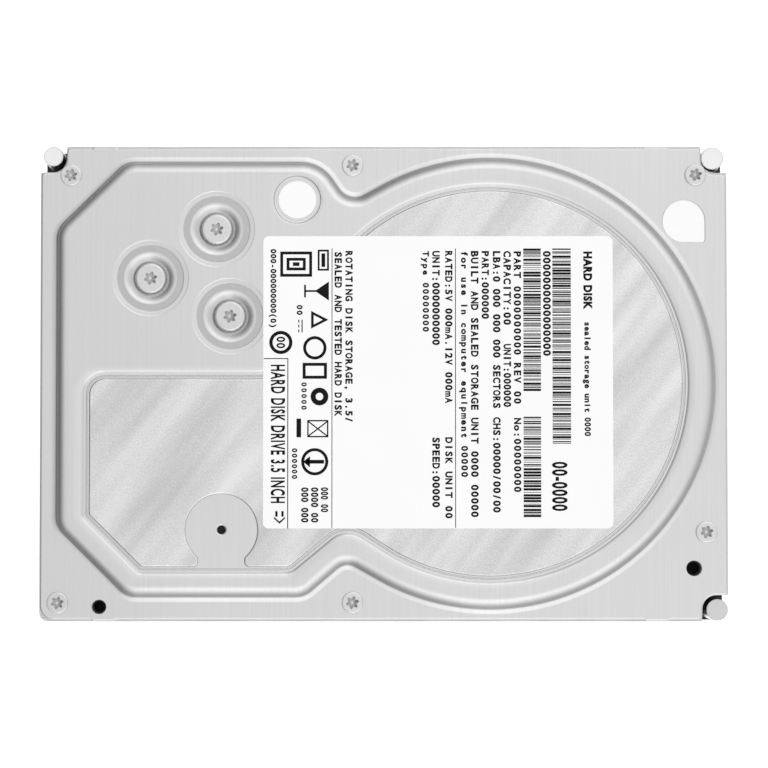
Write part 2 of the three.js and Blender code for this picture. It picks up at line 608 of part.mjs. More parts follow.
function addRotor(rotor) {
  const stackTop = FIRST_PLATTER_Z + (PLATTER_COUNT - 1) * PLATTER_PITCH + PLATTER_THICK;
  const hub = turned([
    [SHAFT_RADIUS + 0.05, 15.9], [10.75, 15.9], [10.75, 7.2], [14.6, 7.2],
    [14.6, FIRST_PLATTER_Z - REST_GAP], [HUB_RADIUS, FIRST_PLATTER_Z - REST_GAP],
    [HUB_RADIUS, stackTop - 0.1], [4.8, stackTop - 0.1], [4.8, 23.6],
    [SHAFT_RADIUS + 0.05, 23.6], [SHAFT_RADIUS + 0.05, 15.9],
  ], 30);
  const clamp = turned([
    [5, stackTop + REST_GAP], [SPACER_RADIUS, stackTop + REST_GAP], [SPACER_RADIUS, 23.3],
    [13, 23.6], [7, 24.05], [5, 24.05], [5, stackTop + REST_GAP],
  ], 30);
  piece(rotor, 'spindle_shaft', drum([0, 0], SHAFT_RADIUS, 3.75, 23.5, 30), 'steel');
  piece(rotor, 'spindle_hub', hub, 'aluminium');
  piece(rotor, 'rotor_magnet', ring(9.65, 10.65, 8.2, 13.6, 30), 'magnet');
  for (let i = 0; i < PLATTER_COUNT; i += 1) {
    const bottom = FIRST_PLATTER_Z + i * PLATTER_PITCH;
    const disc = ring(PLATTER_BORE, PLATTER_RADIUS, 0, PLATTER_THICK, 40);
    piece(rotor, `platter_${i + 1}`, disc, 'platter', [0, 0, bottom]);
    if (i === PLATTER_COUNT - 1) continue;
    const gap = PLATTER_PITCH - PLATTER_THICK - 2 * REST_GAP;
    piece(rotor, `platter_spacer_${i + 1}`, ring(PLATTER_BORE, SPACER_RADIUS, 0, gap, 24), 'aluminium',
      [0, 0, bottom + PLATTER_THICK + REST_GAP]);
  }
  piece(rotor, 'disk_clamp', clamp, 'steel');
}

// ------------------------------------------------------------------ actuator

const BARREL_RADIUS = 8.6;
const BEARING_RADIUS = 5.95;
const PIVOT_SHAFT_RADIUS = 2.6;
const COIL_HALF_ANGLE = 16;
const FORK_BOTTOM = 13.4;
const FORK_TOP = 17.4;
const ORIGIN = [0, 0];

// The head stack is modelled with its arms along +X and its pivot at the origin.
function armBlock() {
  const arm = outline([[0, -7, 0], [SWAGE_X, -2.7, 3], [ARM_LENGTH, 0, 2], [SWAGE_X, 2.7, 3], [0, 7, 0]]);
  const arms = Array.from({ length: ARM_COUNT }, (_, k) => {
    const middle = FIRST_ARM_Z + k * PLATTER_PITCH;
    return prism(arm, middle - ARM_THICK / 2, middle + ARM_THICK / 2);
  });
  const fork = [-1, 1].map((side) => {
    const edges = [COIL_HALF_ANGLE + 0.8, COIL_HALF_ANGLE + 4.8].map((angle) => COIL_ANGLE + side * angle);
    return prism(sector(ORIGIN, 8, 27, Math.min(...edges), Math.max(...edges)), FORK_BOTTOM, FORK_TOP);
  });
  const webHalf = COIL_HALF_ANGLE + 1;
  const webPlan = sector(ORIGIN, 8, 14.3, COIL_ANGLE - webHalf, COIL_ANGLE + webHalf);
  const web = prism(webPlan, FORK_BOTTOM, FORK_TOP);
  return cut(
    joined(drum(ORIGIN, BARREL_RADIUS, STACK_BOTTOM, STACK_TOP, 24), ...arms, web, ...fork),
    drum(ORIGIN, BEARING_RADIUS + 0.1, STACK_BOTTOM - ABOVE, STACK_TOP + ABOVE, 24),
    drum([SWAGE_X, 0], 1.8, STACK_BOTTOM - ABOVE, STACK_TOP + ABOVE, 8),
    drum([20, 0], 3, STACK_BOTTOM - ABOVE, STACK_TOP + ABOVE, 10));
}

function voiceCoil() {
  const turns = sector(ORIGIN, 14.8, 30.5, COIL_ANGLE - COIL_HALF_ANGLE, COIL_ANGLE + COIL_HALF_ANGLE);
  const window = sector(ORIGIN, 19, 26.5, COIL_ANGLE - 8.5, COIL_ANGLE + 8.5);
  return cut(prism(turns, COIL_BOTTOM, COIL_TOP), prism(window, COIL_BOTTOM - ABOVE, COIL_TOP + ABOVE));
}

// One arm's suspension: a swaged boss with a sprung beam above, below or on both sides,
// each with a slider near its end and a lift tab at its tip.
function suspension(faces) {
  const [near, far] = [0.5, 0.7];
  const beam = outline([
    [31.6, -2.4, 0.6], [38, -2.4, 0.6], [HEAD_RADIUS + 0.6, -0.8, 0], [HEAD_RADIUS + 0.6, -0.35, 0],
    [HEAD_RADIUS + 2.6, -0.35, 0], [HEAD_RADIUS + 2.6, 0.35, 0], [HEAD_RADIUS + 0.6, 0.35, 0],
    [HEAD_RADIUS + 0.6, 0.8, 0], [38, 2.4, 0.6], [31.6, 2.4, 0.6],
  ]);
  const bodies = faces.flatMap((face) => {
    const level = (a, b) => [Math.min(face * a, face * b), Math.max(face * a, face * b)];
    return [
      prism(beam, ...level(near, far)),
      block(HEAD_RADIUS - 0.7, HEAD_RADIUS + 0.5, -0.5, 0.5, ...level(far - ABOVE, far + 0.22)),
      drum([SWAGE_X, 0], 1.6, ...level(0, far - ABOVE / 2), 8),
    ];
  });
  return joined(...bodies);
}

function addActuator(actuator) {
  piece(actuator, 'arm_block', armBlock(), 'aluminium');
  piece(actuator, 'voice_coil', voiceCoil(), 'copper');
  piece(actuator, 'pivot_bearing', ring(PIVOT_SHAFT_RADIUS + 0.1, BEARING_RADIUS, 6.9, 23.9, 24), 'steel');
  for (let k = 0; k < ARM_COUNT; k += 1) {
    const faces = [k > 0 ? -1 : 0, k < ARM_COUNT - 1 ? 1 : 0].filter((face) => face !== 0);
    const middle = FIRST_ARM_Z + k * PLATTER_PITCH;
    piece(actuator, `head_suspension_${k + 1}`, suspension(faces), 'steel', [0, 0, middle]);
  }
}

// ------------------------------------------------- fixed parts round the actuator

const YOKE_OUTER = 37.5;
const LOWER_YOKE_TOP = 8.85;
const UPPER_YOKE_BOTTOM = 21;
const UPPER_YOKE_TOP = 23.9;
const BOSS_TOP = CUP_UNDER - 0.04;
const STANDOFFS = [polar(PIVOT, 33.9, 122), polar(PIVOT, 21, 175), polar(PIVOT, 21, 79)];
const LATCH = polar(PIVOT, 35.5, 146);
const LATCH_BOTTOM = 13.6;
const LATCH_TOP = 17;

function yokePlate(bottom, top) {
  const lobes = STANDOFFS.slice(1).map((at) => drum(at, 4, bottom, top));
  const fan = prism(sector(PIVOT, 11.5, YOKE_OUTER, VCM_ANGLE - 40, VCM_ANGLE + 40), bottom, top);
  return joined(fan, ...lobes).intersect(prism(grown(PLATEAU, -1), bottom, top));
}

function lowerYoke() {
  const posts = STANDOFFS.map((at) => drum(at, 1.8, LOWER_YOKE_TOP - 1, UPPER_YOKE_BOTTOM - REST_GAP));
  return joined(
    yokePlate(FLOOR_TOP + 0.05, LOWER_YOKE_TOP), ...posts,
    drum(LATCH, 1.8, LOWER_YOKE_TOP - 1, LATCH_BOTTOM - ABOVE, 10),
    drum(LATCH, 0.95, LOWER_YOKE_TOP, LATCH_TOP + 0.5, 10));
}

function upperYoke() {
  const bosses = YOKE_SCREWS.map((at) => drum(at, 3.4, UPPER_YOKE_TOP - 1, BOSS_TOP));
  const threads = YOKE_SCREWS.map((at) => drum(at, 1.6, UPPER_YOKE_BOTTOM + 0.6, BOSS_TOP + ABOVE, 10));
  return cut(joined(yokePlate(UPPER_YOKE_BOTTOM, UPPER_YOKE_TOP), ...bosses), ...threads);
}

const magnet = (bottom, top) => prism(sector(PIVOT, 14, 31, VCM_ANGLE - 34, VCM_ANGLE + 34), bottom, top);

function pivotShaft() {
  const base = FLOOR_TOP + 0.05;
  const body = turned([
    [0, base], [4.2, base], [4.2, 6.4],
    [PIVOT_SHAFT_RADIUS, 6.4], [PIVOT_SHAFT_RADIUS, BOSS_TOP], [0, BOSS_TOP],
  ], 24);
  return cut(body, drum(ORIGIN, 1.6, 17, BOSS_TOP + ABOVE, 10));
}

// A comb whose fingers reach between the lift tabs of the parked head stack.
function loadRamp() {
  const fingers = Array.from({ length: ARM_COUNT }, (_, k) => {
    const middle = FIRST_ARM_Z + k * PLATTER_PITCH;
    return prism(sector(PIVOT, 51, 55, PARKED_ANGLE - 2.5, PARKED_ANGLE + 5), middle - 0.4, middle + 0.4);
  });
  const back = sector(PIVOT, 54, 57, PARKED_ANGLE - 3, PARKED_ANGLE + 5.5);
  const spine = prism(back, FLOOR_TOP + 0.05, STACK_TOP);
  return joined(spine, ...fingers);
}

// A ribbon cable stood on edge, from the barrel's side to the bracket by the connector end.
function flexCable() {
  const route = new THREE.CatmullRomCurve3([
    polar(PIVOT, 9.5, 232), polar(PIVOT, 9.7, 215), polar(PIVOT, 10.8, 198), polar(PIVOT, 15, 188),
    [-52.5, 7.5], [-55, -1], [-51.5, -10], [-50, -18],
  ].map(([x, y]) => new THREE.Vector3(x, y, 0)));
  const steps = 18;
  const half = 0.15;
  const sides = Array.from({ length: steps + 1 }, (_, i) => {
    const at = route.getPoint(i / steps);
    const along = route.getTangent(i / steps);
    return [[at.x + along.y * half, at.y - along.x * half], [at.x - along.y * half, at.y + along.x * half]];
  });
  const loop = [...sides.map(([right]) => right), ...sides.reverse().map(([, left]) => left)];
  return prism(loop, 9, 20);
}

function flexBracket() {
  const [x0, x1, y0, y1] = FEEDTHROUGH;
  return joined(
    block(x0 - 2, x1 + 4, y0 - 2, y1 + 2, FLOOR_TOP + 0.05, 7.6),
    block(x0 + 0.3, x1 - 0.3, y0 + 0.3, y1 - 0.3, FLOOR_UNDER + ABOVE, 7),
    block(x1 + 0.6, x1 + 2.2, y0, y1, 7, 20));
}

// A small inertia lever that turns on the lower yoke's pin, beside the coil's path.
function latchLever() {
  const openAngle = 40;
  const lever = outline([
    [0, -1.2, 0], [9.4, -0.6, 0.4], [9.4, 1.4, 0.4], [8, 1.4, 0], [7.6, 0.6, 0], [0, 1.2, 0],
  ]);
  const body = joined(drum(ORIGIN, 2.3, LATCH_BOTTOM, LATCH_TOP, 12), prism(lever, LATCH_BOTTOM, LATCH_TOP));
  const bore = drum(ORIGIN, 1.05, LATCH_BOTTOM - ABOVE, LATCH_TOP + ABOVE, 12);
  return cut(body, bore).rotate([0, 0, openAngle]);
}

function addActuatorSurround(group) {
  piece(group, 'pivot_shaft', pivotShaft(), 'steel', [...PIVOT, 0]);
  piece(group, 'lower_yoke', lowerYoke(), 'magnet');
  piece(group, 'upper_yoke', upperYoke(), 'magnet');
  piece(group, 'lower_magnet', magnet(LOWER_YOKE_TOP + REST_GAP, 12.4), 'magnet');
  piece(group, 'upper_magnet', magnet(18.4, UPPER_YOKE_BOTTOM - REST_GAP), 'magnet');
  piece(group, 'load_ramp', loadRamp(), 'plastic');
  piece(group, 'flex_cable', flexCable(), 'polyimide');
  piece(group, 'flex_bracket', flexBracket(), 'plastic');
  piece(group, 'actuator_latch', latchLever(), 'plastic', [...LATCH, 0]);
}

// ------------------------------------------------------------------ assembly

const group = new THREE.Group();
const rotor = new THREE.Group();
const actuator = new THREE.Group();
rotor.position.set(...SPINDLE, 0);
actuator.position.set(...PIVOT, 0);
actuator.rotation.z = radians(PARKED_ANGLE);
group.add(rotor, actuator);

addEnclosure(group);
addElectronics(group);
addMotor(group);
addRotor(rotor);
addActuatorSurround(group);
addActuator(actuator);

export default group;
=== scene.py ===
"""Looks of a 3.5-inch hard disk drive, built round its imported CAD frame.

Lengths in this script are millimetres in the frame's axes, and become metres when a mesh is made.
The cover, the sheet on it, the label, the seals and the screws are rebuilt here with fine meshes.
The casting, the connector and the inner pieces are the CAD's own, with bevels and materials.
"""
import json
import math
import random

import bmesh
import bpy
import numpy as np
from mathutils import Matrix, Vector
from mathutils.geometry import delaunay_2d_cdt


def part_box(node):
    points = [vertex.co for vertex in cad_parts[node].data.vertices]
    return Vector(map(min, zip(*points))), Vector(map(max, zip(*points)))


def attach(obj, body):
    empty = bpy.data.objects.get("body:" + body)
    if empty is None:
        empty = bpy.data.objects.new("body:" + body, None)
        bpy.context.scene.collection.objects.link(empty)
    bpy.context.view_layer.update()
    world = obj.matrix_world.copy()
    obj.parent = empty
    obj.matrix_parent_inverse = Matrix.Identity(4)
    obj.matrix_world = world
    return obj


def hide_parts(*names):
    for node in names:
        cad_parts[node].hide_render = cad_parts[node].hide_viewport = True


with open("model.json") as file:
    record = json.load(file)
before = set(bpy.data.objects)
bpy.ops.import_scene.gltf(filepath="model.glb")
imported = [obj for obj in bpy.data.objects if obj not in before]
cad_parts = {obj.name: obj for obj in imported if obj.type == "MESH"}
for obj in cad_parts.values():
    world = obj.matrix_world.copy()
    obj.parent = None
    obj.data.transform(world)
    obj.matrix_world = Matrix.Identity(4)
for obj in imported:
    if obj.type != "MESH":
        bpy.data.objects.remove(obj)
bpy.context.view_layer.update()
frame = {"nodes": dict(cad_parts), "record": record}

MM = 0.001
RNG = random.Random(11)


def node_box(node):
    low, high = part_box(node)
    return low / MM, high / MM


def node_centre(node):
    low, high = node_box(node)
    return (low.x + high.x) / 2, (low.y + high.y) / 2


# ---- plan outlines

def polar(centre, radius, degrees):
    angle = math.radians(degrees)
    return centre[0] + radius * math.cos(angle), centre[1] + radius * math.sin(angle)


def arc(centre, radius, start, end):
    """Points on an arc: two degrees apart on large arcs, and up to twelve on small ones."""
    step = max(2.0, min(12.0, 12.0 / math.sqrt(radius + 1e-6)))
    count = max(2, math.ceil(abs(end - start) / step))
    return [polar(centre, radius, start + (end - start) * i / count) for i in range(count + 1)]


def fillet(before, corner, after):
    """The rounded corner (x, y, radius) between the points before and after it."""
    x, y, radius = corner
    if not radius:
        return [(x, y)]
    here = Vector((x, y))
    a = (Vector(before[:2]) - here).normalized()
    b = (Vector(after[:2]) - here).normalized()
    half = math.acos(max(-1.0, min(1.0, a.dot(b)))) / 2
    centre = here + (a + b).normalized() * (radius / math.sin(half))
    along = radius / math.tan(half)
    ends = [math.degrees(math.atan2(*reversed(here + u * along - centre))) for u in (a, b)]
    sweep = (ends[1] - ends[0] + 180) % 360 - 180
    return arc(centre, radius, ends[0], ends[0] + sweep)


def outline(corners):
    """A closed anticlockwise loop from corners (x, y, fillet radius) and arcs (centre, radius, from, to)."""
    ends = []
    for c in corners:
        ends.append((c, c) if len(c) == 3 else (polar(c[0], c[1], c[2]), polar(c[0], c[1], c[3])))
    loop = []
    for i, c in enumerate(corners):
        if len(c) == 4:
            loop += arc(*c)
        else:
            loop += fillet(ends[i - 1][1], c, ends[(i + 1) % len(corners)][0])
    return loop


def grown(loop, distance):
    """The loop moved outwards by a distance."""
    points = np.array([tuple(p) for p in loop], float)
    along = np.roll(points, -1, 0) - points
    along /= np.linalg.norm(along, axis=1)[:, None]
    normal = np.stack([along[:, 1], -along[:, 0]], 1)
    before = np.roll(normal, 1, 0)
    scale = distance / (1 + (normal * before).sum(1))
    return [tuple(p) for p in points + (normal + before) * scale[:, None]]


def circle(centre, radius, count=64):
    return [polar(centre, radius, 360 * i / count) for i in range(count)]


def rectangle(x0, x1, y0, y1, radius):
    return outline([(x0, y0, radius), (x1, y0, radius), (x1, y1, radius), (x0, y1, radius)])


# ---- mesh building

def new_mesh(name, verts, faces):
    """A mesh whose vertices are given in millimetres."""
    mesh = bpy.data.meshes.new(name)
    mesh.from_pydata([Vector(v) * MM for v in verts], [], faces)
    return mesh


def new_object(name, data):
    made = bpy.data.objects.new(name, data)
    bpy.context.scene.collection.objects.link(made)
    return made


def solid_box(x0, x1, y0, y1, z0, z1):
    """The corners and the faces of a box."""
    verts = [(x, y, z) for z in (z0, z1) for x, y in ((x0, y0), (x1, y0), (x1, y1), (x0, y1))]
    sides = [(i, (i + 1) % 4, 4 + (i + 1) % 4, 4 + i) for i in range(4)]
    return verts, [(3, 2, 1, 0), (4, 5, 6, 7)] + sides


class Heap:
    """Many small bodies gathered into one mesh."""

    def __init__(self):
        self.verts, self.faces = [], []

    def take(self, verts, faces):
        base = len(self.verts)
        self.verts += verts
        self.faces += [tuple(base + i for i in face) for face in faces]


class Shell:
    """Vertices and faces of one closed body, built from flat fills and strips between loops."""

    def __init__(self):
        self.verts, self.faces, self.slots = [], [], []

    def _add(self, points):
        start = len(self.verts)
        self.verts += points
        return range(start, start + len(points))

    def bridge(self, low, high, slot=0):
        """A band of faces between two rings of the same number of points."""
        a, b = self._add(low), self._add(high)
        count = len(a)
        for i in range(count):
            j = (i + 1) % count
            self.faces.append((a[i], a[j], b[j], b[i]))
            self.slots.append(slot)

    def strip(self, loop, profile, slot=0, level=0.0):
        """A band that follows the loop, through (distance outwards, height) pairs. Returns its last loop."""
        loops = [[(x, y, level + z) for x, y in grown(loop, d)] for d, z in profile]
        for low, high in zip(loops, loops[1:]):
            self.bridge(low, high, slot)
        return grown(loop, profile[-1][0])

    def fan(self, ring, tip, slot=0):
        """Triangles from each side of a ring to one point."""
        for a, b in zip(ring, ring[1:] + ring[:1]):
            self.faces.append(tuple(self._add([a, b, tip])))
            self.slots.append(slot)

    def fill(self, loops, z, slot=0):
        """A flat face at height z, inside the first loop and outside the others."""
        points, edges = [], []
        for loop in loops:
            base, count = len(points), len(loop)
            points += [Vector(p) for p in loop]
            edges += [(base + i, base + (i + 1) % count) for i in range(count)]
        verts, _, faces, *_ = delaunay_2d_cdt(points, edges, [], 0, 1e-6)
        flat = np.array([tuple(v) for v in verts])
        tris = np.array([tuple(f) for f in faces])
        middle = flat[tris].mean(1)
        inside = np.zeros(len(tris), int)
        for loop in loops:
            p = np.array([tuple(q) for q in loop])
            q = np.roll(p, -1, 0)
            for (x0, y0), (x1, y1) in zip(p, q):
                if y0 == y1:
                    continue
                crosses = ((y0 > middle[:, 1]) != (y1 > middle[:, 1])) & (
                    middle[:, 0] < (x1 - x0) * (middle[:, 1] - y0) / (y1 - y0) + x0)
                inside += crosses
        index = self._add([(x, y, z) for x, y in flat])
        for tri in tris[inside % 2 == 1]:
            self.faces.append(tuple(index[int(i)] for i in tri))
            self.slots.append(slot)

    def piece(self, name, body, slot, materials, smooth_angle=35):
        mesh = new_mesh(name, self.verts, self.faces)
        for polygon, index in zip(mesh.polygons, self.slots):
            polygon.material_index = index
        return finish_mesh(name, mesh, body, materials, smooth_angle)


def corner_normals(work, smooth_angle):
    """Shading normals: level faces stay level, and a curved band meets them without a crease."""
    limit = math.cos(math.radians(smooth_angle))
    upright = 0.99999
    normals = []
    for face in work.faces:
        for corner in face.loops:
            near = [f for f in corner.vert.link_faces if f.normal.dot(face.normal) > limit]
            level = [f for f in near if abs(f.normal.z) > upright]
            if level:
                normals.append(level[0].normal.copy())
                continue
            total = Vector((0, 0, 0))
            for f in near:
                total += f.normal * f.calc_area()
            normals.append(total.normalized())
    return normals


def finish_mesh(name, mesh, body, materials, smooth_angle=35):
    """Merges the seams, turns the faces outwards, shades them and hangs the piece on its body."""
    work = bmesh.new()
    work.from_mesh(mesh)
    bmesh.ops.remove_doubles(work, verts=work.verts, dist=1e-6)
    bmesh.ops.dissolve_degenerate(work, edges=work.edges, dist=1e-7)
    bmesh.ops.recalc_face_normals(work, faces=work.faces)
    work.normal_update()
    normals = corner_normals(work, smooth_angle)
    work.to_mesh(mesh)
    work.free()
    for key in materials:
        mesh.materials.append(MATERIALS[key])
    mesh.polygons.foreach_set("use_smooth", [True] * len(mesh.polygons))
    mesh.normals_split_custom_set(normals)
    piece = new_object(name, mesh)
    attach(piece, body)
    return piece


# ---- materials

def new_material(name, colour, roughness, metallic=0.0):
    material = bpy.data.materials.new(name)
    material.use_nodes = True
    nodes = Nodes(material)
    nodes.set("Base Color", (*colour, 1))
    nodes.set("Roughness", roughness)
    nodes.set("Metallic", metallic)
    return material, nodes


class Nodes:
    """Short calls for the few shader nodes that the materials and the tent use."""

    def __init__(self, material):
        self.tree = material.node_tree
        self.place = self.tree.nodes.new("ShaderNodeTexCoord").outputs["Object"]

    def set(self, socket, value):
        self.tree.nodes["Principled BSDF"].inputs[socket].default_value = value

    def drive(self, socket, value):
        self.link(value, self.tree.nodes["Principled BSDF"].inputs[socket])

    # An even glow from the surface itself: on the floor it keeps the backdrop white, on the label, the seals
    # and the post ends it is painted light.
    def glow(self, strength):
        self.set("Emission Color", (1, 1, 1, 1))
        self.set("Emission Strength", strength)

    def link(self, source, target):
        self.tree.links.new(source, target)

    def add(self, kind, inputs=None, **settings):
        """A new node, whose inputs take constants or the outputs of other nodes."""
        node = self.tree.nodes.new(kind)
        for key, value in settings.items():
            setattr(node, key, value)
        for key, value in (inputs or {}).items():
            if isinstance(value, bpy.types.NodeSocket):
                self.link(value, node.inputs[key])
            else:
                node.inputs[key].default_value = value
        return node

    def noise(self, scale, detail=3.0, roughness=0.5, turn=0.0):
        """Noise in the frame, turned about Z: features per metre, as one number or one per axis."""
        scales = scale if isinstance(scale, tuple) else (scale,) * 3
        turned = self.add("ShaderNodeMapping", {"Vector": self.place, "Rotation": (0, 0, math.radians(turn))})
        scaled = self.add("ShaderNodeMapping", {"Vector": turned.outputs["Vector"], "Scale": scales})
        texture = {"Vector": scaled.outputs["Vector"], "Scale": 1.0, "Detail": detail, "Roughness": roughness}
        return self.add("ShaderNodeTexNoise", texture).outputs["Fac"]

    def range(self, value, low, high, start=0.3, end=0.7):
        """The value's stretch from start to end, spread from low to high."""
        spread = {"Value": value, "From Min": start, "From Max": end, "To Min": low, "To Max": high}
        return self.add("ShaderNodeMapRange", spread).outputs["Result"]

    def math(self, operation, a, b=0.0):
        return self.add("ShaderNodeMath", {0: a, 1: b}, operation=operation).outputs[0]

    def split(self, vector):
        return self.add("ShaderNodeSeparateXYZ", {0: vector})

    def times(self, a, b):
        return self.math("MULTIPLY", a, b)

    def mixed(self, first, share, second):
        """Two values added, the first with its share and the second with the rest."""
        return self.math("ADD", self.times(first, share), self.times(second, 1 - share))

    def ramp(self, value, stops):
        node = self.add("ShaderNodeValToRGB", {"Fac": value})
        elements = node.color_ramp.elements
        while len(elements) < len(stops):
            elements.new(0.5)
        for element, (position, colour) in zip(elements, stops):
            element.position = position
            element.color = (*colour, 1)
        return node.outputs["Color"]

    def tones(self, value, dark, light):
        """A noise value as a colour between two tones."""
        return self.ramp(value, [(0.35, dark), (0.65, light)])

    def bump(self, height, depth, strength=1.0):
        node = self.add("ShaderNodeBump", {"Height": height, "Strength": strength, "Distance": depth * MM})
        self.drive("Normal", node.outputs["Normal"])


def grey(level):
    return (level, level, level)


def tones_of(colour, contrast):
    """A darker and a lighter tone of a colour."""
    return [tuple(min(1.0, c * (1 + side * contrast)) for c in colour) for side in (-1, 1)]


def satin_metal(name, colour, roughness, grain, contrast, depth):
    """Rolled or machined metal: fine lines along one direction, broken by a slow cloudiness."""
    material, nodes = new_material(name, colour, roughness, 1.0)
    lines = nodes.noise(grain, 4, 0.6)
    clouds = nodes.noise(38, 3)
    mixed = nodes.mixed(lines, 0.55, clouds)
    nodes.drive("Base Color", nodes.tones(mixed, *tones_of(colour, contrast)))
    nodes.drive("Roughness", nodes.range(mixed, roughness * 1.15, roughness * 0.85))
    nodes.bump(lines, depth)
    return material


def moulded(name, colour, roughness, grain, depth, contrast=0.12, light=0.0):
    """Plastic, rubber, paper or foam: a fine even texture and a slight unevenness of colour, and a painted
    glow when light is above zero.
    """
    material, nodes = new_material(name, colour, roughness)
    # The glow is painted light, which makes the surface whiter than its colour.
    if light:
        nodes.glow(light)
    fine = nodes.noise(grain, 2)
    clouds = nodes.noise(90, 3)
    nodes.drive("Base Color", nodes.tones(clouds, *tones_of(colour, contrast)))
    nodes.drive("Roughness", nodes.range(fine, roughness * 0.9, min(1.0, roughness * 1.1)))
    nodes.bump(fine, depth)
    return material


def damper_material():
    """A ground sheet whose grain and a second pattern beat into soft diagonal bands."""
    material, nodes = new_material("ground sheet", grey(0.84), 0.24, 1.0)
    bands = nodes.noise((25, 210, 25), 1, 0.5, -52)
    grain = nodes.noise((4600, 3000, 4000), 2, 0.7, 35)
    mixed = nodes.mixed(bands, 0.5, grain)
    nodes.drive("Base Color", nodes.ramp(mixed, [(0.36, grey(0.64)), (0.5, grey(0.80)), (0.64, grey(0.96))]))
    nodes.drive("Roughness", nodes.range(mixed, 0.30, 0.20))
    nodes.bump(grain, 0.0025)
    return material


def casting_material():
    """Black electrocoat over a casting, cut back to bright metal on the machined faces."""
    material, nodes = new_material("coated casting", grey(0.02), 0.42)
    peel = nodes.noise(1400, 3)
    fine = nodes.noise(6000, 2)
    tool_marks = nodes.noise((120, 4200, 120), 3)
    normal = nodes.add("ShaderNodeNewGeometry").outputs["Normal"]
    height, facing = (nodes.split(vector).outputs["Z"] for vector in (nodes.place, normal))
    level, margin = 0.9, 0.05 * MM
    up = nodes.math("GREATER_THAN", facing, level)
    down = nodes.math("LESS_THAN", facing, -level)
    rim = nodes.times(up, nodes.math("GREATER_THAN", height, RIM_TOP * MM - margin))
    rail = nodes.times(down, nodes.math("LESS_THAN", height, margin))
    bare = nodes.math("MAXIMUM", rim, rail)
    black = nodes.tones(peel, grey(0.014), grey(0.026))
    metal = nodes.tones(tool_marks, grey(0.66), grey(0.84))
    mix = nodes.add("ShaderNodeMix", {"Factor": bare, "A": black, "B": metal}, data_type="RGBA")
    nodes.drive("Base Color", mix.outputs["Result"])
    nodes.drive("Metallic", bare)
    nodes.drive("Roughness", nodes.range(fine, 0.38, 0.5))
    nodes.bump(nodes.math("ADD", peel, nodes.times(fine, 0.3)), 0.012)
    return material


def board_material():
    """Green solder mask, with patches of parallel copper tracks showing faintly through it."""
    material, nodes = new_material("solder mask", (0.012, 0.07, 0.035), 0.3)
    tracks = []
    for direction in ("X", "Y"):
        inputs = {"Vector": nodes.place, "Scale": 420}
        wave = nodes.add("ShaderNodeTexWave", inputs, bands_direction=direction)
        tracks.append(nodes.math("GREATER_THAN", wave.outputs["Fac"], 0.62))
    patches = nodes.noise(110, 1)
    across = nodes.times(tracks[0], nodes.math("GREATER_THAN", patches, 0.52))
    along = nodes.times(tracks[1], nodes.math("LESS_THAN", patches, 0.46))
    copper = nodes.math("MAXIMUM", across, along)
    colour = nodes.ramp(copper, [(0.2, (0.008, 0.058, 0.028)), (0.8, (0.014, 0.098, 0.046))])
    nodes.drive("Base Color", colour)
    nodes.drive("Roughness", nodes.range(patches, 0.26, 0.38))
    nodes.bump(copper, 0.01, 0.4)
    return material


def printed_ink():
    """Black print, slightly uneven."""
    material, nodes = new_material("printing ink", grey(0.008), 0.45)
    nodes.set("Specular IOR Level", 0.12)
    fade = nodes.noise(2500, 2)
    nodes.drive("Base Color", nodes.ramp(fade, [(0.3, grey(0.003)), (0.75, grey(0.014))]))
    return material


POST_TOP = node_box("base_casting")[1].z
RIM_TOP = POST_TOP - 0.8  # the corner posts stand this much above the rim

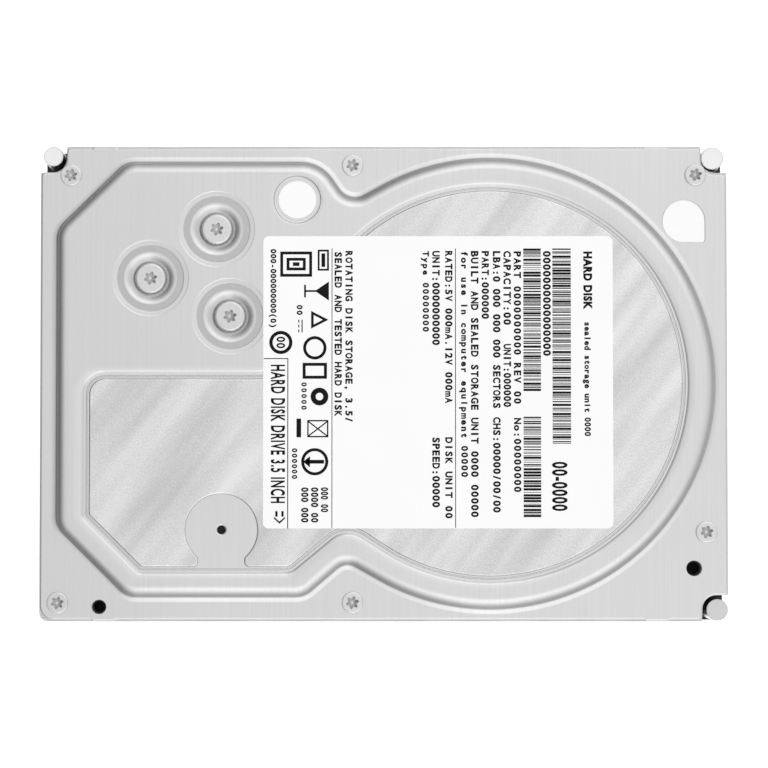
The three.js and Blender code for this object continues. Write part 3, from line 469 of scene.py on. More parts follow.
MATERIALS = {
    "cover": satin_metal("pressed cover sheet", grey(0.79), 0.25, (2600, 30, 2600), 0.03, 0.002),
    "coined": satin_metal("coined metal", grey(0.60), 0.34, 900, 0.03, 0.002),
    "damper": damper_material(),
    "casting": casting_material(),
    # The label stock and the seal film glow: painted light that makes them whiter.
    "label": moulded("label stock", grey(0.93), 0.5, 2500, 0.0006, 0.008, 0.34),
    "seal": moulded("seal film", grey(0.92), 0.45, 900, 0.004, 0.015, 0.34),
    # Both post ends glow as painted light; the third post's end glows less, which makes it greyer.
    "post": moulded("blasted post end with painted glow", grey(0.9), 0.5, 5000, 0.002, 0.03, 0.24),
    "post weak glow": moulded("greyer post end with weak painted glow", grey(0.85), 0.5, 5000, 0.002, 0.05, 0.06),
    "ink": printed_ink(),
    "steel": satin_metal("plated screw steel", grey(0.80), 0.20, 1800, 0.06, 0.0015),
    # The driver sockets are darker than the screw steel: painted shade in the recess.
    "socket": satin_metal("driver socket darkened as painted shade", grey(0.72), 0.26, 1800, 0.1, 0.002),
    "platter": satin_metal("sputtered disc", grey(0.86), 0.04, 300, 0.01, 0.0001),
    "aluminium": satin_metal("turned aluminium", grey(0.78), 0.28, (60, 60, 4000), 0.06, 0.002),
    "magnet": satin_metal("nickel plate", (0.62, 0.60, 0.56), 0.22, 1200, 0.04, 0.001),
    "copper": satin_metal("enamelled wire", (0.72, 0.30, 0.14), 0.30, (300, 300, 9000), 0.18, 0.01),
    "gasket": moulded("gasket rubber", grey(0.02), 0.75, 4000, 0.01),
    "board": board_material(),
    "chip": moulded("moulded epoxy", grey(0.022), 0.5, 7000, 0.006),
    "connector": moulded("connector plastic", grey(0.018), 0.42, 8000, 0.003),
    "plastic": moulded("natural plastic", (0.78, 0.74, 0.64), 0.45, 5000, 0.004, 0.05),
    "carbon": moulded("carbon felt", grey(0.02), 0.95, 2500, 0.05, 0.2),
    "filter": moulded("filter felt", grey(0.86), 0.95, 2500, 0.05, 0.06),
    "foam": moulded("foam sheet", grey(0.05), 0.9, 1800, 0.08),
    "polyimide": moulded("polyimide film", (0.52, 0.20, 0.04), 0.3, 1500, 0.004),
    "gold": satin_metal("gold plate", (0.95, 0.68, 0.28), 0.22, 2000, 0.05, 0.001),
    "thread": satin_metal("cut thread", grey(0.22), 0.35, 900, 0.15, 0.002),
}

# The CAD nodes take the material of their slot, and most get small rounded edges.
BEVELS = {
    "casting": 0.25, "connector": 0.12, "aluminium": 0.12, "magnet": 0.2, "plastic": 0.15, "chip": 0.12,
    "board": 0.06, "steel": 0.05, "platter": 0.08, "copper": 0.2, "filter": 0.3, "gasket": 0.08,
}


def soften(piece, width):
    """Small rounded edges, where two faces meet at more than 40 degrees."""
    bevel = piece.modifiers.new("soft edges", "BEVEL")
    bevel.width = width * MM
    bevel.segments = 2
    bevel.limit_method = "ANGLE"
    bevel.angle_limit = math.radians(40)
    bevel.use_clamp_overlap = True
    bevel.harden_normals = True


def dress_cad_nodes():
    slots = {row["node"]: row["material_slot"] for row in frame["record"]["subparts"]}
    for name, node in frame["nodes"].items():
        slot = slots[name]
        node.data.materials.clear()
        node.data.materials.append(MATERIALS["carbon" if name == "breather_filter" else slot])
        if slot not in BEVELS:
            continue
        node.modifiers.new("joined seams", "WELD").merge_threshold = 1e-6
        soften(node, BEVELS[slot])


# ---- the cover

SPINDLE = node_centre("platter_1")
LARGE_SCREWS = ("yoke_screw_1", "yoke_screw_2", "pivot_screw")
CUPS = [node_centre(name) for name in LARGE_SCREWS]
SMALL_SCREWS = [f"cover_screw_{i}" for i in range(1, 7)]
ROUND_SEAL = node_centre("round_seal")
CORNER_SEAL = node_centre("corner_seal")
BREATHER = node_centre("breather_filter")
THREADED_HOLES = [((-60.68, -47.7), 1.5), ((66.17, -39.49), 1.63)]
# The end of each post glows as painted light, the third one less.
CORNER_POSTS = [  # centre, radius, look of the end
    ((-70.75, 48.6), 2.1, "post"), ((70.35, 48.2), 2.4, "post"), ((71.07, -48.34), 2.3, "post weak glow"),
]
POST_FOOT = 11.2

SHEET = 0.8  # the thickness of the cover
COVER_LOW, COVER_HIGH = node_box("top_cover")
COVER_UNDER = COVER_LOW.z
PLATEAU_TOP = COVER_HIGH.z
FLANGE_TOP = COVER_UNDER + SHEET
CEILING = PLATEAU_TOP - SHEET
RECESS_FLOOR = node_box("damper_plate")[0].z - 0.04
RECESS_GAP = 1.0  # from the edge of the damper plate to the edge of its recess
CUP_FLOOR = PLATEAU_TOP - 1.0
CUP_UNDER = CUP_FLOOR - 0.6
CUP_RADIUS = 8.1
CUP_BORE = 1.7
SCREW_BORE = 1.55
BREATHER_RADIUS = 0.85
NOTCH = 5.6
LOCATING_STEPS = ((-62.0, -57.4), (55.8, 60.6))
STEP_FOOT, STEP_HEAD = 1.4, -2.35  # from the plateau's loop to the foot and the head of its step
STEP_SLOPES = (0.04, 0.17, 0.21, 0.24, 0.32, 0.7, 0.76, 0.64, 0.545, 0.45, 0.36, 0.27, 0.195, 0.12, 0.05, 0)
BOWL_SLOPES = (0.03, 0.1, 0.24, 0.36, 0.43, 0.49, 0.52, 0.54, 0.56)

PLATEAU = outline([
    (SPINDLE, 48, -119.2, 118.9), (-7.4, 38.3, 4.3), (-13.61, 47.17, 8), (-55.05, 47.17, 5),
    (-69.65, 32.9, 5), (-69.65, -30.5, 5), (-54.7, -45.4, 5), (-16.96, -45.4, 5), (-8.1, -37.8, 3.6),
])

DAMPER_START = [(SPINDLE, 41.2, -122, 158), (-21.45, 0.95, 8.6), (-62.85, 0.95, 3.4), (-62.85, -28, 0.5)]
DAMPER_END = [(-20.2, -39.2, 2.5), (-8.1, -29.2, 6.8)]
DAMPER_RECESS = outline(DAMPER_START + [(-51.65, -39.2, 0.5)] + DAMPER_END)


def flange_outline():
    """The cover's edge: notched at three corners, with two shallow locating steps in each long edge."""
    x0, x1, y0, y1 = COVER_LOW.x, COVER_HIGH.x, COVER_LOW.y, COVER_HIGH.y
    near_x, near_y = x1 - NOTCH + 0.2, y1 - NOTCH + 0.4
    step = 0.3

    def steps(side, y, order):
        points = []
        for a, b in LOCATING_STEPS:
            points += [(a - 0.5, y), (a, y + side * step), (b, y + side * step), (b + 0.5, y)]
        return [(*point, 0.3) for point in points[::order]]

    return outline([
        (x0, y0, 3.0), *steps(-1, y0, 1), (near_x, y0, 0.8), (near_x, -near_y, 3.0), (x1, -near_y, 0.8),
        (x1, near_y - 0.4, 0.8), (near_x, near_y - 0.4, 3.0), (near_x, y1, 0.8), *steps(1, y1, -1),
        (-near_x, y1, 0.8), (-near_x, near_y, 3.0), (x0, near_y, 0.8),
    ])


def smooth_steps(start, end, z_start, z_end, slopes, count):
    """A profile of (distance, height) points whose slope follows the given samples from start to end."""
    samples = np.interp(np.linspace(0, 1, count), np.linspace(0, 1, len(slopes)), slopes)
    heights = np.concatenate([[0], np.cumsum((samples[1:] + samples[:-1]) / 2)])
    heights = z_start + (z_end - z_start) * heights / heights[-1]
    return list(zip(np.linspace(start, end, count), heights))


def teardrop(radius):
    """The corner seal's outline: a circle with one square corner."""
    x, y = CORNER_SEAL
    return outline([(CORNER_SEAL, radius, 0, 270), (x + radius, y - radius, 0.6)])


def press_edge_and_step(shell):
    """The rounded edge and the pressed step. Returns their loops: on the flange, below, on the plateau."""
    edge = flange_outline()
    waist = (0, COVER_UNDER + 0.1)
    round_edge = [waist, (0, FLANGE_TOP - 0.14), (-0.25, FLANGE_TOP - 0.04), (-0.42, FLANGE_TOP)]
    edge_top = shell.strip(edge, round_edge)
    edge_bottom = shell.strip(edge, [waist, (-0.1, COVER_UNDER)])
    # The step is soft at its foot, steep, then soft again.
    step = smooth_steps(STEP_FOOT, STEP_HEAD, FLANGE_TOP, PLATEAU_TOP, STEP_SLOPES, 31)
    plateau_loop = shell.strip(PLATEAU, step)
    return edge_top, edge_bottom, plateau_loop


def press_flange(shell, edge_top, holes):
    """The flat flange, its screw holes and the bed of the corner seal."""
    lip = 0.12
    top = FLANGE_TOP
    for hole in holes:
        shell.strip(hole, [(lip, top), (0.04, top - 0.04), (0, top - lip), (0, COVER_UNDER)])
    seal_bed = teardrop(4.6)
    floor = node_box("corner_seal")[0].z - 0.02
    bed = shell.strip(seal_bed, [(lip, top), (0.04, top - 0.03), (-0.02, floor + 0.06), (-0.12, floor)])
    shell.fill([bed], floor)
    foot = grown(PLATEAU, STEP_FOOT)
    shell.fill([edge_top, foot, grown(seal_bed, lip)] + [grown(hole, lip) for hole in holes], top)


def press_recess(shell, breather):
    """The recess for the damper plate: a slow roll-off, then a narrow groove. Returns its outer loop."""
    top, floor = PLATEAU_TOP, RECESS_FLOOR
    groove = floor - 0.3
    roll = [(2.7, top), (2.1, top - 0.01), (1.6, top - 0.025), (1.2, top - 0.055), (0.8, top - 0.105),
            (0.45, top - 0.15), (0.14, floor + 0.02), (0, floor)]
    channel = [(-0.32, floor), (-0.45, groove), (-0.58, groove), (-0.71, floor)]
    recess = grown(DAMPER_RECESS, RECESS_GAP)
    inside = shell.strip(recess, roll + channel)
    shell.strip(breather, [(0.45, floor), (0.3, floor - 0.05), (0.1, floor - 0.12), (0, floor - 0.25),
                           (0, CEILING - 0.3)])
    shell.fill([inside, grown(breather, 0.45)], floor)
    return grown(recess, roll[0][0])


def press_seal_dish(shell):
    top = PLATEAU_TOP
    rim = circle(ROUND_SEAL, 5.1)
    floor = node_box("round_seal")[0].z - 0.02
    dish = shell.strip(rim, [(0.7, top), (0.3, top - 0.01), (0.1, top - 0.03), (-0.1, floor + 0.05),
                             (-0.25, floor + 0.01), (-0.5, floor)])
    shell.fill([dish], floor)
    return grown(rim, 0.7)


def press_cup(shell, centre):
    """The round seat of a large screw: a rim, a coined ledge, a bowl and a moat round its floor."""
    rim = circle(centre, CUP_RADIUS, 96)
    top = PLATEAU_TOP
    ledge, ledge_end = top - 0.2, -2.45
    rim_profile = [(0.15, 0), (0.05, -0.01), (-0.05, -0.06), (-0.15, -0.07), (-0.9, -0.08), (-1.0, -0.13)]
    shell.strip(rim, rim_profile, level=top)
    shell.strip(rim, [(-1.0, top - 0.13), (-1.1, ledge), (ledge_end, ledge)], 1)
    bowl = smooth_steps(ledge_end, -4.6, ledge, CUP_FLOOR, BOWL_SLOPES, 16)
    moat = [(-4.7, CUP_FLOOR - 0.07), (-4.9, CUP_FLOOR - 0.2), (-5.1, CUP_FLOOR - 0.2), (-5.2, CUP_FLOOR)]
    seat = shell.strip(rim, bowl + moat)
    bore = circle(centre, CUP_BORE, 32)
    shell.fill([seat, bore], CUP_FLOOR)
    shell.strip(bore, [(0, CUP_FLOOR), (0, CUP_UNDER)])
    return grown(rim, 0.15)


def press_underside(shell, edge_bottom, breather, holes):
    """Below, the hollow follows the plateau, with bosses under the recess and the cups."""
    hollow = shell.strip(PLATEAU, [(0.1, COVER_UNDER), (-0.9, CEILING - 0.4), (-1.7, CEILING)])
    boss = grown(DAMPER_RECESS, RECESS_GAP + 0.5)
    shell.strip(boss, [(0, CEILING), (0, CEILING - 0.3)])
    shell.fill([boss, breather], CEILING - 0.3)
    pads = [circle(centre, 6.4) for centre in CUPS]
    for pad, centre in zip(pads, CUPS):
        shell.strip(pad, [(0, CEILING), (0, CUP_UNDER)])
        shell.fill([pad, circle(centre, CUP_BORE, 32)], CUP_UNDER)
    shell.fill([hollow, boss] + pads, CEILING)
    shell.fill([edge_bottom, grown(PLATEAU, 0.1)] + holes, COVER_UNDER)


def build_cover():
    shell = Shell()
    holes = [circle(centre, radius, 48) for centre, radius in THREADED_HOLES]
    holes += [circle(node_centre(name), SCREW_BORE, 32) for name in SMALL_SCREWS]
    breather = circle(BREATHER, BREATHER_RADIUS, 32)
    edge_top, edge_bottom, plateau_loop = press_edge_and_step(shell)
    press_flange(shell, edge_top, holes)
    openings = [press_recess(shell, breather), press_seal_dish(shell)]
    openings += [press_cup(shell, centre) for centre in CUPS]
    shell.fill([plateau_loop] + openings, PLATEAU_TOP)
    press_underside(shell, edge_bottom, breather, holes)
    cover = shell.piece("cover_pressing", "enclosure", "cover", ["cover", "coined"], 40)
    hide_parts("top_cover")


def slab(name, node, slot, loop, edge, sunk=0.0, dent=None):
    """A thin sheet with slightly rounded upper edges that stands for one CAD node."""
    low, high = node_box(node)
    bottom, top = low.z, high.z - sunk
    shell = Shell()
    upper = shell.strip(loop, [(0, bottom), (0, top - 0.7 * edge), (-0.6 * edge, top - 0.2 * edge),
                               (-1.5 * edge, top)])
    openings = []
    if dent:
        rim = circle(*dent)
        shell.strip(rim, [(0.35, 0), (0.1, -0.01), (-0.15, -0.035), (-0.4, -0.04)], level=top)
        shell.fill([grown(rim, -0.4)], top - 0.04)
        openings.append(grown(rim, 0.35))
    shell.fill([upper] + openings, top)
    shell.fill([loop], bottom)
    piece = shell.piece(name, "enclosure", slot, [slot])
    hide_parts(node)


def build_sheets():
    """The damper plate, with its keyhole round the breather, and the two seals."""
    x, y = BREATHER
    half, foot = 4.9, -39.2
    keyhole = [
        (-51.65, foot, 0.5), (x - half, foot, 1.1), (x - half, foot + 2, 0.5), ((x, y), 7.65, 225, -45),
        (x + half, foot + 2, 0.5), (x + half, foot, 1.1),
    ]
    slab("damper_sheet", "damper_plate", "damper", outline(DAMPER_START + keyhole + DAMPER_END), 0.26)
    disc, drop = circle(ROUND_SEAL, 4.0, 72), teardrop(4.45)
    slab("round_sticker", "round_seal", "seal", disc, 0.04, dent=(ROUND_SEAL, 3.1))
    slab("corner_sticker", "corner_seal", "seal", drop, 0.04, dent=(CORNER_SEAL, 2.6))


# ---- screws

def lobes(centre, radius, depth, count=72):
    """A six-lobed driver recess seen from above."""
    points = []
    for i in range(count):
        angle = 360 * i / count
        inwards = depth * (0.5 - 0.5 * math.cos(math.radians(6 * angle)))
        points.append(polar(centre, radius * (1 - inwards), angle + 15))
    return points


def build_screw(name, bearing, head_radius, shank, recess_radius, edge, groove_radius=None):
    """A screw whose head bears on a level, with a turned groove round the socket of the large ones."""
    low, high = node_box(name)
    centre = node_centre(name)
    seat, top = bearing + 0.02, high.z
    rim = circle(centre, head_radius, 72)
    shell = Shell()
    inset = shank - head_radius
    shell.strip(rim, [(inset, low.z), (inset, seat), (0, seat), (0, top - 0.3), (-0.04, top - 0.16),
                      (-0.25 * edge, top - 0.07), (-0.6 * edge, top - 0.03), (-edge, top)])
    inner = grown(rim, -edge)
    if groove_radius:
        groove = circle(centre, groove_radius, 72)
        shell.strip(groove, [(0.1, 0), (0.03, -0.05), (-0.03, -0.05), (-0.1, 0)], level=top)
        shell.fill([inner, grown(groove, 0.1)], top)
        inner = grown(groove, -0.1)
    # The recess walls and floor take the darker socket material: painted shade.
    recess = lobes(centre, recess_radius, 0.36)
    shell.strip(recess, [(0.1, 0), (0.02, -0.05), (-0.06, -0.16)], 1, top)
    brim = [(x, y, top - 0.16) for x, y in grown(recess, -0.06)]
    floor = [((x + centre[0]) / 2, (y + centre[1]) / 2, top - 0.56) for x, y, _ in brim]
    shell.bridge(brim, floor, 1)
    shell.fill([inner, grown(recess, 0.1)], top)
    shell.fan(floor, (*centre, top - 0.66), 1)
    shell.fill([grown(rim, inset)], low.z)
    piece = shell.piece(f"{name}_fine", "enclosure", "steel", ["steel", "socket"], 40)
    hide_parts(name)


def build_screws():
    for name in SMALL_SCREWS:
        build_screw(name, FLANGE_TOP, 2.3, 1.3, 1.35, 0.36)
    for name in LARGE_SCREWS:
        build_screw(name, CUP_FLOOR, 3.2, 1.45, 1.4, 0.5, 2.5)


# ---- label

LABEL_LOW, LABEL_HIGH = node_box("product_label")
LABEL_SUNK = 0.02  # the sheet is this much lower than the CAD label, and the print is on it
LABEL_TOP = LABEL_HIGH.z - LABEL_SUNK
INK_FOOT = LABEL_TOP - 0.01
INK_TOP = LABEL_HIGH.z - 0.008
RULE_WIDTH = 0.17
TYPED_WEIGHT = 0.046
BAR_WIDTHS = (0.14, 0.14, 0.26, 0.3, 0.5)
BAR_GAPS = (0.11, 0.13, 0.18, 0.32)
BAR_BLOCKS = [(2.65, 44.8, 8.95, 12.9), (2.65, 33.65, 15.35, 19.1), (38.6, 60.6, 15.35, 19.1)]


def on_label(u, v):
    """A place on the label read with its lines across: u from its left edge, v down from its top."""
    return LABEL_HIGH.x - v, LABEL_HIGH.y - u


class Print(Heap):
    """Flat printed shapes on the label, as thin closed solids in one mesh."""

    def __init__(self):
        super().__init__()
        self.cut = {}

    def prism(self, *loops):
        """A solid between the first loop and the others."""
        shell = Shell()
        for loop in loops:
            shell.strip(loop, [(0, INK_FOOT), (0, INK_TOP)])
        shell.fill(loops, INK_TOP)
        shell.fill(loops, INK_FOOT)
        self.take(shell.verts, shell.faces)

    def box(self, u0, u1, v0, v1):
        (x0, y0), (x1, y1) = on_label(u1, v1), on_label(u0, v0)
        self.take(*solid_box(x0, x1, y0, y1, INK_FOOT, INK_TOP))

    def ring(self, u, v, outer, inner):
        at = on_label(u, v)
        self.prism(circle(at, outer, 48), circle(at, inner, 48))

    def shape(self, *loops):
        self.prism(*[[on_label(u, v) for u, v in points] for points in loops])

    def frame(self, u0, u1, v0, v1, width):
        self.box(u0, u1, v0, v0 + width)
        self.box(u0, u1, v1 - width, v1)
        self.box(u0, u0 + width, v0 + width, v1 - width)
        self.box(u1 - width, u1, v0 + width, v1 - width)

    def bars(self, u0, u1, v0, v1):
        """Upright bars of random widths and gaps, which stand for no code."""
        u = u0
        while u < u1 - 0.5:
            width = RNG.choice(BAR_WIDTHS)
            self.box(u, u + width, v0, v1)
            u += width + RNG.choice(BAR_GAPS)

    def letters(self, words, weight):
        """The solid shape of some letters at size 1: points, with their heights as 0 or 1, and faces."""
        key = (words, weight)
        if key not in self.cut:
            curve = bpy.data.curves.new("words", "FONT")
            curve.body = words
            curve.resolution_u = 3
            curve.extrude = 0.01
            curve.offset = weight
            curve.space_character = 1.15
            holder = new_object("words", curve)
            bpy.context.view_layer.update()
            mesh = bpy.data.meshes.new_from_object(holder)
            points = np.array([tuple(p.co) for p in mesh.vertices])
            points[:, 2] = points[:, 2] > 0
            self.cut[key] = points, [tuple(p.vertices) for p in mesh.polygons]
            bpy.data.objects.remove(holder)
            bpy.data.curves.remove(curve)
            bpy.data.meshes.remove(mesh)
        return self.cut[key]

    def place(self, points, faces, left, across, base, up):
        """Letters put on the label: left edge and scale across, base line and scale up."""
        placed = []
        for x, y, raised in points:
            at = on_label(left + across * x, base - up * y)
            placed.append((*at, INK_FOOT + (INK_TOP - INK_FOOT) * raised))
        self.take(placed, faces)

    def text(self, words, u0, u1, v0, v1, weight):
        """Words stretched to fill the box between two corners."""
        points, faces = self.letters(words, weight)
        low, high = points.min(0), points.max(0)
        across = (u1 - u0) / (high[0] - low[0])
        up = (v1 - v0) / (high[1] - low[1])
        self.place(points, faces, u0 - across * low[0], across, v1 + up * low[1], up)

    def typed(self, words, u0, u1, v0, v1, weight):
        """Words in equal cells, as a simple label printer sets them."""
        cell = (u1 - u0) / len(words)
        up = (v1 - v0) / self.letters("0", weight)[0][:, 1].max()
        for i, letter in enumerate(words):
            if letter == " ":
                continue
            points, faces = self.letters(letter, weight)
            low, high = points[:, 0].min(), points[:, 0].max()
            width = min(cell * 0.9, (high - low) * up * 1.1)
            across = width / (high - low)
            left = u0 + cell * (i + 0.5) - width / 2 - across * low
            self.place(points, faces, left, across, v1, up)


TYPED_LINES = [
    # words, left, right, top, bottom
    ("sealed storage unit 0000", 18.3, 42.8, 4.7, 6.0),
    ("0000000000000000", 3.1, 25.7, 13.2, 14.8),
    ("PART 0000000000 REV 00", 3.1, 36.0, 19.55, 21.05),
    ("No:00000000", 38.8, 54.8, 19.55, 21.05),
    ("CAPACITY:00", 3.1, 19.1, 21.7, 23.25),
    ("UNIT:000000", 23.0, 36.6, 21.7, 23.25),
    ("LBA:0 000 000 000 SECTORS", 3.1, 36.9, 23.95, 25.5),
    ("CHS:00000/00/00", 38.6, 59.1, 23.95, 25.5),
    ("PART:000000", 3.1, 17.8, 26.4, 27.9),
    ("BUILT AND SEALED STORAGE UNIT 0000 00000", 3.1, 60.1, 28.65, 30.2),
    ("for use in computer equipment 00000", 3.1, 51.6, 30.9, 32.3),
    ("RATED:5V 000mA.12V 000mA", 3.1, 35.8, 34.2, 35.7),
    ("DISK UNIT 00", 42.9, 60.4, 34.2, 35.7),
    ("UNIT:0000000000", 3.1, 23.4, 36.9, 38.45),
    ("SPEED:00000", 42.9, 58.0, 36.9, 38.45),
    ("Type 00000000", 3.1, 20.6, 39.2, 40.5),
    ("ROTATING DISK STORAGE, 3.5/", 3.1, 39.9, 55.5, 57.0),
    ("SEALED AND TESTED HARD DISK", 3.3, 38.6, 57.8, 59.3),
    ("00000", 31.1, 37.3, 65.3, 66.4),
    ("000000", 45.2, 52.0, 67.3, 68.4),
    ("000-000000000(0)", 2.7, 19.7, 71.8, 73.0),
    ("00", 14.6, 17.0, 66.2, 67.4),
    ("000 00", 53.6, 59.0, 60.7, 62.2),
    ("0000 00", 53.6, 61.2, 62.8, 64.3),
    ("000 000", 53.6, 61.2, 64.9, 66.4),
]
DRAWN_LINES = [
    # words, left, right, top, bottom, weight
    ("HARD DISK", 3.3, 15.7, 4.36, 6.3, 0.06),
    ("00-0000", 48.2, 58.7, 9.7, 13.1, 0.035),
    ("HARD DISK DRIVE 3.5 INCH", 27.5, 57.0, 69.9, 73.0, 0.03),
    ("00", 21.5, 24.0, 69.9, 71.8, 0.03),
]


def print_marks(ink):
    """Plain pictograms in the places where a drive's label carries its approval marks."""
    frames = [
        (3.3, 8.7, 64.2, 71.0, 0.62), (4.65, 7.35, 65.55, 69.65, 0.62), (2.9, 7.4, 60.6, 63.0, 0.4),
        (27.1, 30.5, 61.0, 66.2, 0.65), (39.3, 43.0, 60.7, 65.2, 0.3),
    ]
    boxes = [
        (5.6, 6.4, 66.9, 68.3), (3.7, 6.6, 61.4, 62.2), (11.55, 11.95, 63.3, 65.6), (10.4, 13.1, 65.5, 65.9),
        (47.8, 48.6, 61.6, 65.4), (39.0, 43.0, 66.5, 67.5), (17.9, 20.6, 66.2, 66.45),
        (17.9, 18.5, 66.9, 67.15), (18.95, 19.55, 66.9, 67.15), (20.0, 20.6, 66.9, 67.15),
        (26.1, 62.4, 69.25, 69.45), (26.1, 26.3, 69.45, 74.5), (58.7, 59.9, 70.2, 70.7),
        (58.7, 59.9, 71.5, 72.0),
    ]
    rings = [
        (23.9, 63.6, 2.5, 1.85), (34.3, 62.6, 1.9, 0.8), (48.2, 63.6, 2.9, 2.25), (22.75, 70.85, 2.48, 1.75),
    ]
    shapes = [
        [(9.7, 60.6), (11.75, 63.6), (13.8, 60.6)], [(47.0, 64.6), (49.4, 64.6), (48.2, 66.1)],
        [(39.5, 61.0), (39.85, 61.0), (42.85, 64.9), (42.5, 64.9)],
        [(42.5, 61.0), (42.85, 61.0), (39.85, 64.9), (39.5, 64.9)],
        [(59.9, 69.9), (60.3, 69.9), (61.4, 71.1), (60.3, 72.3), (59.9, 72.3), (60.9, 71.1)],
    ]
    for draw, marks in ((ink.frame, frames), (ink.box, boxes), (ink.ring, rings)):
        for mark in marks:
            draw(*mark)
    for points in shapes:
        ink.shape(points)
    ink.shape([(16.0, 64.4), (19.8, 64.4), (17.9, 60.7)], [(16.9, 63.85), (18.9, 63.85), (17.9, 61.9)])


def build_label():
    loop = rectangle(LABEL_LOW.x, LABEL_HIGH.x, LABEL_LOW.y, LABEL_HIGH.y, 1.2)
    slab("label_sheet", "product_label", "label", loop, 0.02, LABEL_SUNK)
    ink = Print()
    for block in BAR_BLOCKS:
        ink.bars(*block)
    for v in (33.5, 59.85):
        ink.box(2.65, 62.3, v, v + RULE_WIDTH)
    print_marks(ink)
    for line in TYPED_LINES:
        ink.typed(*line, TYPED_WEIGHT)
    for line in DRAWN_LINES:
        ink.text(*line)
    mesh = new_mesh("label_print", ink.verts, ink.faces)
    finish_mesh("label_print", mesh, "enclosure", ["ink"], 30)


# ---- fittings on the casting and the board

def build_post_caps():
    """The turned tops of the three corner posts, over the coarser CAD ones."""
    end = POST_TOP + 0.02
    for i, (centre, radius, look) in enumerate(CORNER_POSTS):
        shell = Shell()
        rim = circle(centre, radius + 0.03)
        profile = [(0, POST_FOOT), (0, POST_TOP - 0.2), (-0.06, POST_TOP - 0.08), (-0.2, end)]
        shell.fill([shell.strip(rim, profile)], end, 1)
        shell.fill([rim], POST_FOOT)
        # The end face takes a glowing material: painted light.
        shell.piece(f"corner_post_{i + 1}", "enclosure", "casting", ["aluminium", look])


class Blocks(Heap):
    """Many small rectangular bodies in one mesh, with bevelled edges."""

    def add(self, *sides):
        self.take(*solid_box(*sides))

    def piece(self, name, slot, material, bevel):
        mesh = new_mesh(name, self.verts, self.faces)
        mesh.materials.append(MATERIALS[material])
        piece = new_object(name, mesh)
        soften(piece, bevel)
        mesh.polygons.foreach_set("use_smooth", [True] * len(mesh.polygons))
        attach(piece, "enclosure")


BOARD_LOW = node_box("circuit_board")[0]
BOARD_FACE = BOARD_LOW.z  # the board hangs below the casting, with its parts on this face
MEMORY_CHIPS = [(-36, -14, 5.2, 3.8), (-10, 22, 4.0, 6.0)]  # centre, half length, half width
# half length, half width, height
PART_SIZES = [(0.8, 0.4, 0.45), (0.8, 0.4, 0.35), (0.5, 0.25, 0.3), (1.1, 0.7, 0.8)]
LEG_PITCH = 0.8
PART_PITCH = 3.6


def clear_on_board(x, y, taken):
    """Whether a small part fits here: on the board, and away from the chips, screws and motor."""
    near_motor = math.hypot(x - SPINDLE[0], y - SPINDLE[1]) < 20 or (x > 6.5 and y > -20)
    on_board = BOARD_LOW.x + 5 < x < 26 and abs(y) <= 40
    clear = all(abs(x - cx) > hx or abs(y - cy) > hy for cx, cy, hx, hy in taken)
    return clear and on_board and not near_motor


def add_memory_chip(bodies, legs, cx, cy, hx, hy):
    bodies.add(cx - hx, cx + hx, cy - hy, cy + hy, BOARD_FACE - 1.0, BOARD_FACE - 0.12)
    for i in range(int(hx * 2 / LEG_PITCH)):
        x = cx - hx + 0.6 + LEG_PITCH * i
        for side in (-1, 1):
            y0, y1 = sorted((cy + side * (hy - 0.1), cy + side * (hy + 0.8)))
            legs.add(x - 0.16, x + 0.16, y0, y1, BOARD_FACE - 0.2, BOARD_FACE)


def add_small_part(bodies, ends, x, y, size, lengthwise):
    """A resistor or capacitor: its body, and a metal cap over each end."""
    long, wide, tall = size
    cap = 0.04
    boxes = [(bodies, -long, long, wide, tall)]
    for side in (-1, 1):
        near, far = sorted((side * long * 0.62, side * (long + 3 * cap)))
        boxes.append((ends, near, far, wide + cap, tall + cap))
    for blocks, near, far, half, height in boxes:
        spans = [(near, far), (-half, half)]
        (x0, x1), (y0, y1) = spans if lengthwise else spans[::-1]
        blocks.add(x + x0, x + x1, y + y0, y + y1, BOARD_FACE - height, BOARD_FACE)


def build_board_parts():
    """Chip capacitors and resistors in loose rows, two memory chips with legs, and bare gold pads."""
    bodies, ends, legs, pads = Blocks(), Blocks(), Blocks(), Blocks()
    taken = [(*node_centre("controller_chip"), 9.5, 9.5), (*node_centre("motor_driver_chip"), 7, 7)]
    taken += [(*node_centre(f"board_screw_{i}"), 4.5, 4.5) for i in range(1, 5)]
    for cx, cy, hx, hy in MEMORY_CHIPS:
        add_memory_chip(bodies, legs, cx, cy, hx, hy)
        taken.append((cx, cy, hx + 2, hy + 2))
    for row in range(22):
        for column in range(24):
            x = -59 + column * PART_PITCH + RNG.uniform(-0.5, 0.5)
            y = -39 + row * PART_PITCH + RNG.uniform(-0.5, 0.5)
            if RNG.random() < 0.45 or not clear_on_board(x, y, taken):
                continue
            size = RNG.choice(PART_SIZES)
            add_small_part(bodies, ends, x, y, size, RNG.random() < 0.5)
    pad_foot = BOARD_FACE - 0.05
    for i in range(4):
        pads.add(2.4, 4.6, -7.2 + 2.6 * i, -5.6 + 2.6 * i, pad_foot, BOARD_FACE)
    for i in range(9):
        pads.add(-54.5 + 1.5 * i, -53.6 + 1.5 * i, 32.0, 34.4, pad_foot, BOARD_FACE)
    bodies.piece("board_part_bodies", "chip", "chip", 0.06)
    ends.piece("board_part_ends", "steel", "steel", 0.03)
    legs.piece("chip_legs", "steel", "steel", 0.03)
    pads.piece("board_pads", "steel", "gold", 0.01)


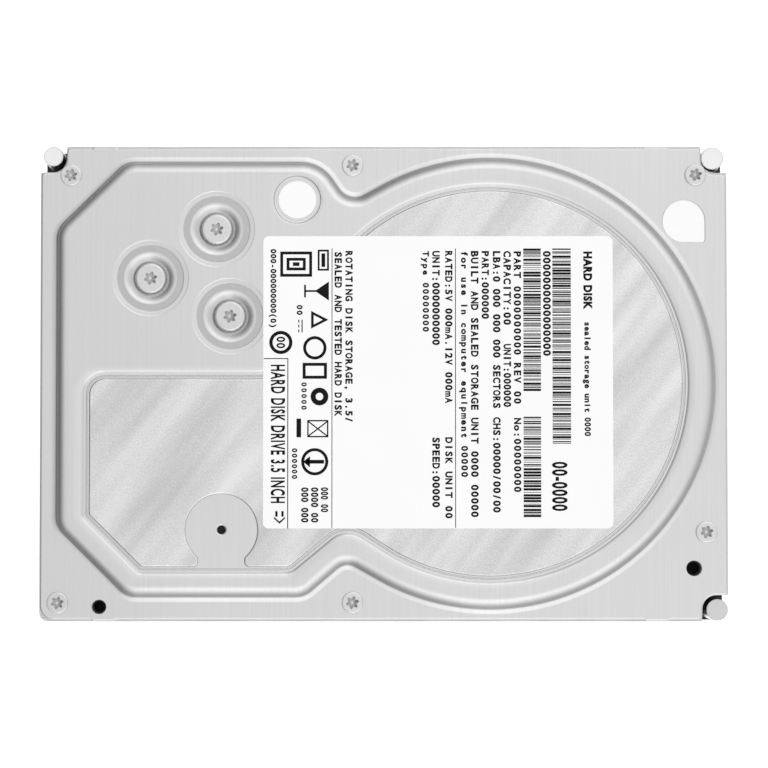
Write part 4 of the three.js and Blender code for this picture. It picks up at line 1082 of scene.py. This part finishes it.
def build_contacts():
    """Gold strips on both faces of the connector's two tongues: fifteen for power and seven for signal."""
    low, high = node_box("sata_connector")
    middle = (low.y + high.y) / 2
    pitch, half_width = 1.27, 0.4
    faces = ((3.94, 4.0), (5.2, 5.24))
    strips = Blocks()
    for count, first in ((15, -14.4), (7, 7.9)):
        for i in range(count):
            y = middle + first + pitch * i
            for z0, z1 in faces:
                strips.add(low.x + 0.9, low.x + 6.6, y - half_width, y + half_width, z0, z1)
    strips.piece("connector_contacts", "connector", "gold", 0.01)


def open_threads():
    """Where the open screw holes are: start, two directions across, the way in, radius and turns."""
    x_way, y_way, z_way = (1, 0, 0), (0, 1, 0), (0, 0, 1)
    bore = 1.58
    places = []
    for centre, radius in THREADED_HOLES:
        places.append(((*centre, RIM_TOP - 0.2), x_way, y_way, (0, 0, -1), radius - 0.02, 6))
    low, high = node_box("base_casting")
    for distance in (28.5, 70.1, 130.1):
        for side in (-1, 1):
            start = (distance - high.x, side * (-low.y - 0.3), 6.35)
            places.append((start, x_way, z_way, (0, -side, 0), bore, 3))
    for distance in (41.28, 85.73):
        for side in (-1, 1):
            places.append(((distance - high.x, side * 47.625, 0.4), x_way, y_way, z_way, bore, 5))
    return places


def build_threads():
    """Cut threads as fine rings inside the screw holes that stand open."""
    pitch, depth = 0.7, 0.28
    count = 28
    for number, (start, across, up, inward, radius, turns) in enumerate(open_threads()):
        crest = radius - depth * 0.15
        rings = [(radius, 0.0)]
        for i in range(turns):
            rings += [(crest, pitch * i), (radius - depth, pitch * (i + 0.45))]
        rings += [(crest, pitch * turns), (radius, pitch * turns)]
        verts, faces = [], []
        for r, w in rings:
            for c, d in circle((0, 0), r, count):
                verts.append(tuple(start[n] + across[n] * c + up[n] * d + inward[n] * w for n in range(3)))
        for j in range(len(rings)):
            following = (j + 1) % len(rings)
            for k in range(count):
                m = (k + 1) % count
                faces.append((j * count + k, j * count + m, following * count + m, following * count + k))
        mesh = new_mesh("thread", verts, faces)
        finish_mesh(f"thread_{number + 1}", mesh, "enclosure", ["thread"], 30)


# ---- stage and camera

FRAME_WIDTH = 163.8  # what the picture spans at the cover's height
AIM = (0.06, -0.22)  # the middle of the picture on the cover
LENS = 153
SENSOR = 36
LEAN = 2.4  # degrees from straight above, towards the picture's bottom edge
FLOOR_HALF = 900
FLOOR_DROP = 0.1


def build_stage():
    material, nodes = new_material("pale floor", grey(0.9), 0.9)
    nodes.drive("Base Color", nodes.ramp(nodes.noise(30), [(0.3, grey(0.90)), (0.7, grey(0.92))]))
    nodes.glow(0.8)
    corners = rectangle(-FLOOR_HALF, FLOOR_HALF, -FLOOR_HALF, FLOOR_HALF, 0)
    mesh = new_mesh("floor", [(x, y, 0) for x, y in corners], [(0, 1, 2, 3)])
    mesh.materials.append(material)
    floor = new_object("floor", mesh)
    floor.location.z = -FLOOR_DROP * MM


BRIGHTEST = 1.42
# Brightness of the tent, from level (0) to straight up (1).
TENT_LEVELS = [(0.0, 1.2), (0.08, 1.1), (0.2, 0.34), (0.42, 0.52), (0.6, 0.78), (0.75, 1.16),
               (0.93, BRIGHTEST), (0.985, 0.97), (1.0, 0.925)]
# What the bright band loses towards +X, by height.
TENT_LOSSES = [(0.5, 0), (0.6, 0.03), (0.75, 0.26), (0.93, 0.33), (0.985, 0.04), (1.0, 0)]


def build_light():
    """A soft tent: a grey patch overhead, a bright band round it and a darker band lower down."""
    world = bpy.data.worlds.new("tent")
    bpy.context.scene.world = world
    world.use_nodes = True
    nodes = Nodes(world)
    calc, times = nodes.math, nodes.times
    parts = nodes.split(nodes.add("ShaderNodeTexCoord").outputs["Generated"])
    x, y, z = (parts.outputs[axis] for axis in "XYZ")
    light = nodes.ramp(z, [(at, grey(level / BRIGHTEST)) for at, level in TENT_LEVELS])

    # The -X side is darker than the +X side, except near level, and both are darker than the middle.
    slant = calc("SUBTRACT", x, times(y, 0.1))
    side = nodes.range(slant, 0.32, 1.02, -0.85, 0.1)
    off_middle = nodes.range(calc("ABSOLUTE", x), 1.02, 0.84, 0.02, 0.14)
    shade = calc("SUBTRACT", times(side, off_middle), 1)
    raised = nodes.range(z, 0, 1, 0.06, 0.2)
    side = calc("ADD", 1, times(raised, shade))

    # The bright band is dimmer towards +X.
    flat = calc("SQRT", calc("SUBTRACT", 1, times(z, z)))
    toward = calc("DIVIDE", x, calc("MAXIMUM", flat, 0.01))
    loss = nodes.ramp(z, [(at, grey(level)) for at, level in TENT_LOSSES])
    loss = times(loss, nodes.range(toward, 0, 1, 0.80, 0.93))
    side = times(side, calc("SUBTRACT", 1, loss))

    background = world.node_tree.nodes["Background"]
    nodes.link(light, background.inputs["Color"])
    nodes.link(times(side, BRIGHTEST), background.inputs["Strength"])


def build_camera():
    """The camera leans a little, because the outline in the photo narrows towards the top."""
    data = bpy.data.cameras.new("camera")
    data.lens = LENS
    data.sensor_width = SENSOR
    data.clip_start = 0.01
    distance = FRAME_WIDTH * LENS / SENSOR
    lean = math.radians(LEAN)
    camera = new_object("camera", data)
    back, up = distance * math.sin(lean), distance * math.cos(lean)
    camera.location = Vector((AIM[0], AIM[1] - back, PLATEAU_TOP + up)) * MM
    camera.rotation_euler = (lean, 0, 0)
    bpy.context.scene.camera = camera


build_camera()
dress_cad_nodes()
build_cover()
build_sheets()
build_screws()
build_label()
build_post_caps()
build_board_parts()
build_contacts()
build_threads()
build_stage()
build_light()
bpy.context.scene.view_settings.view_transform = "Standard"
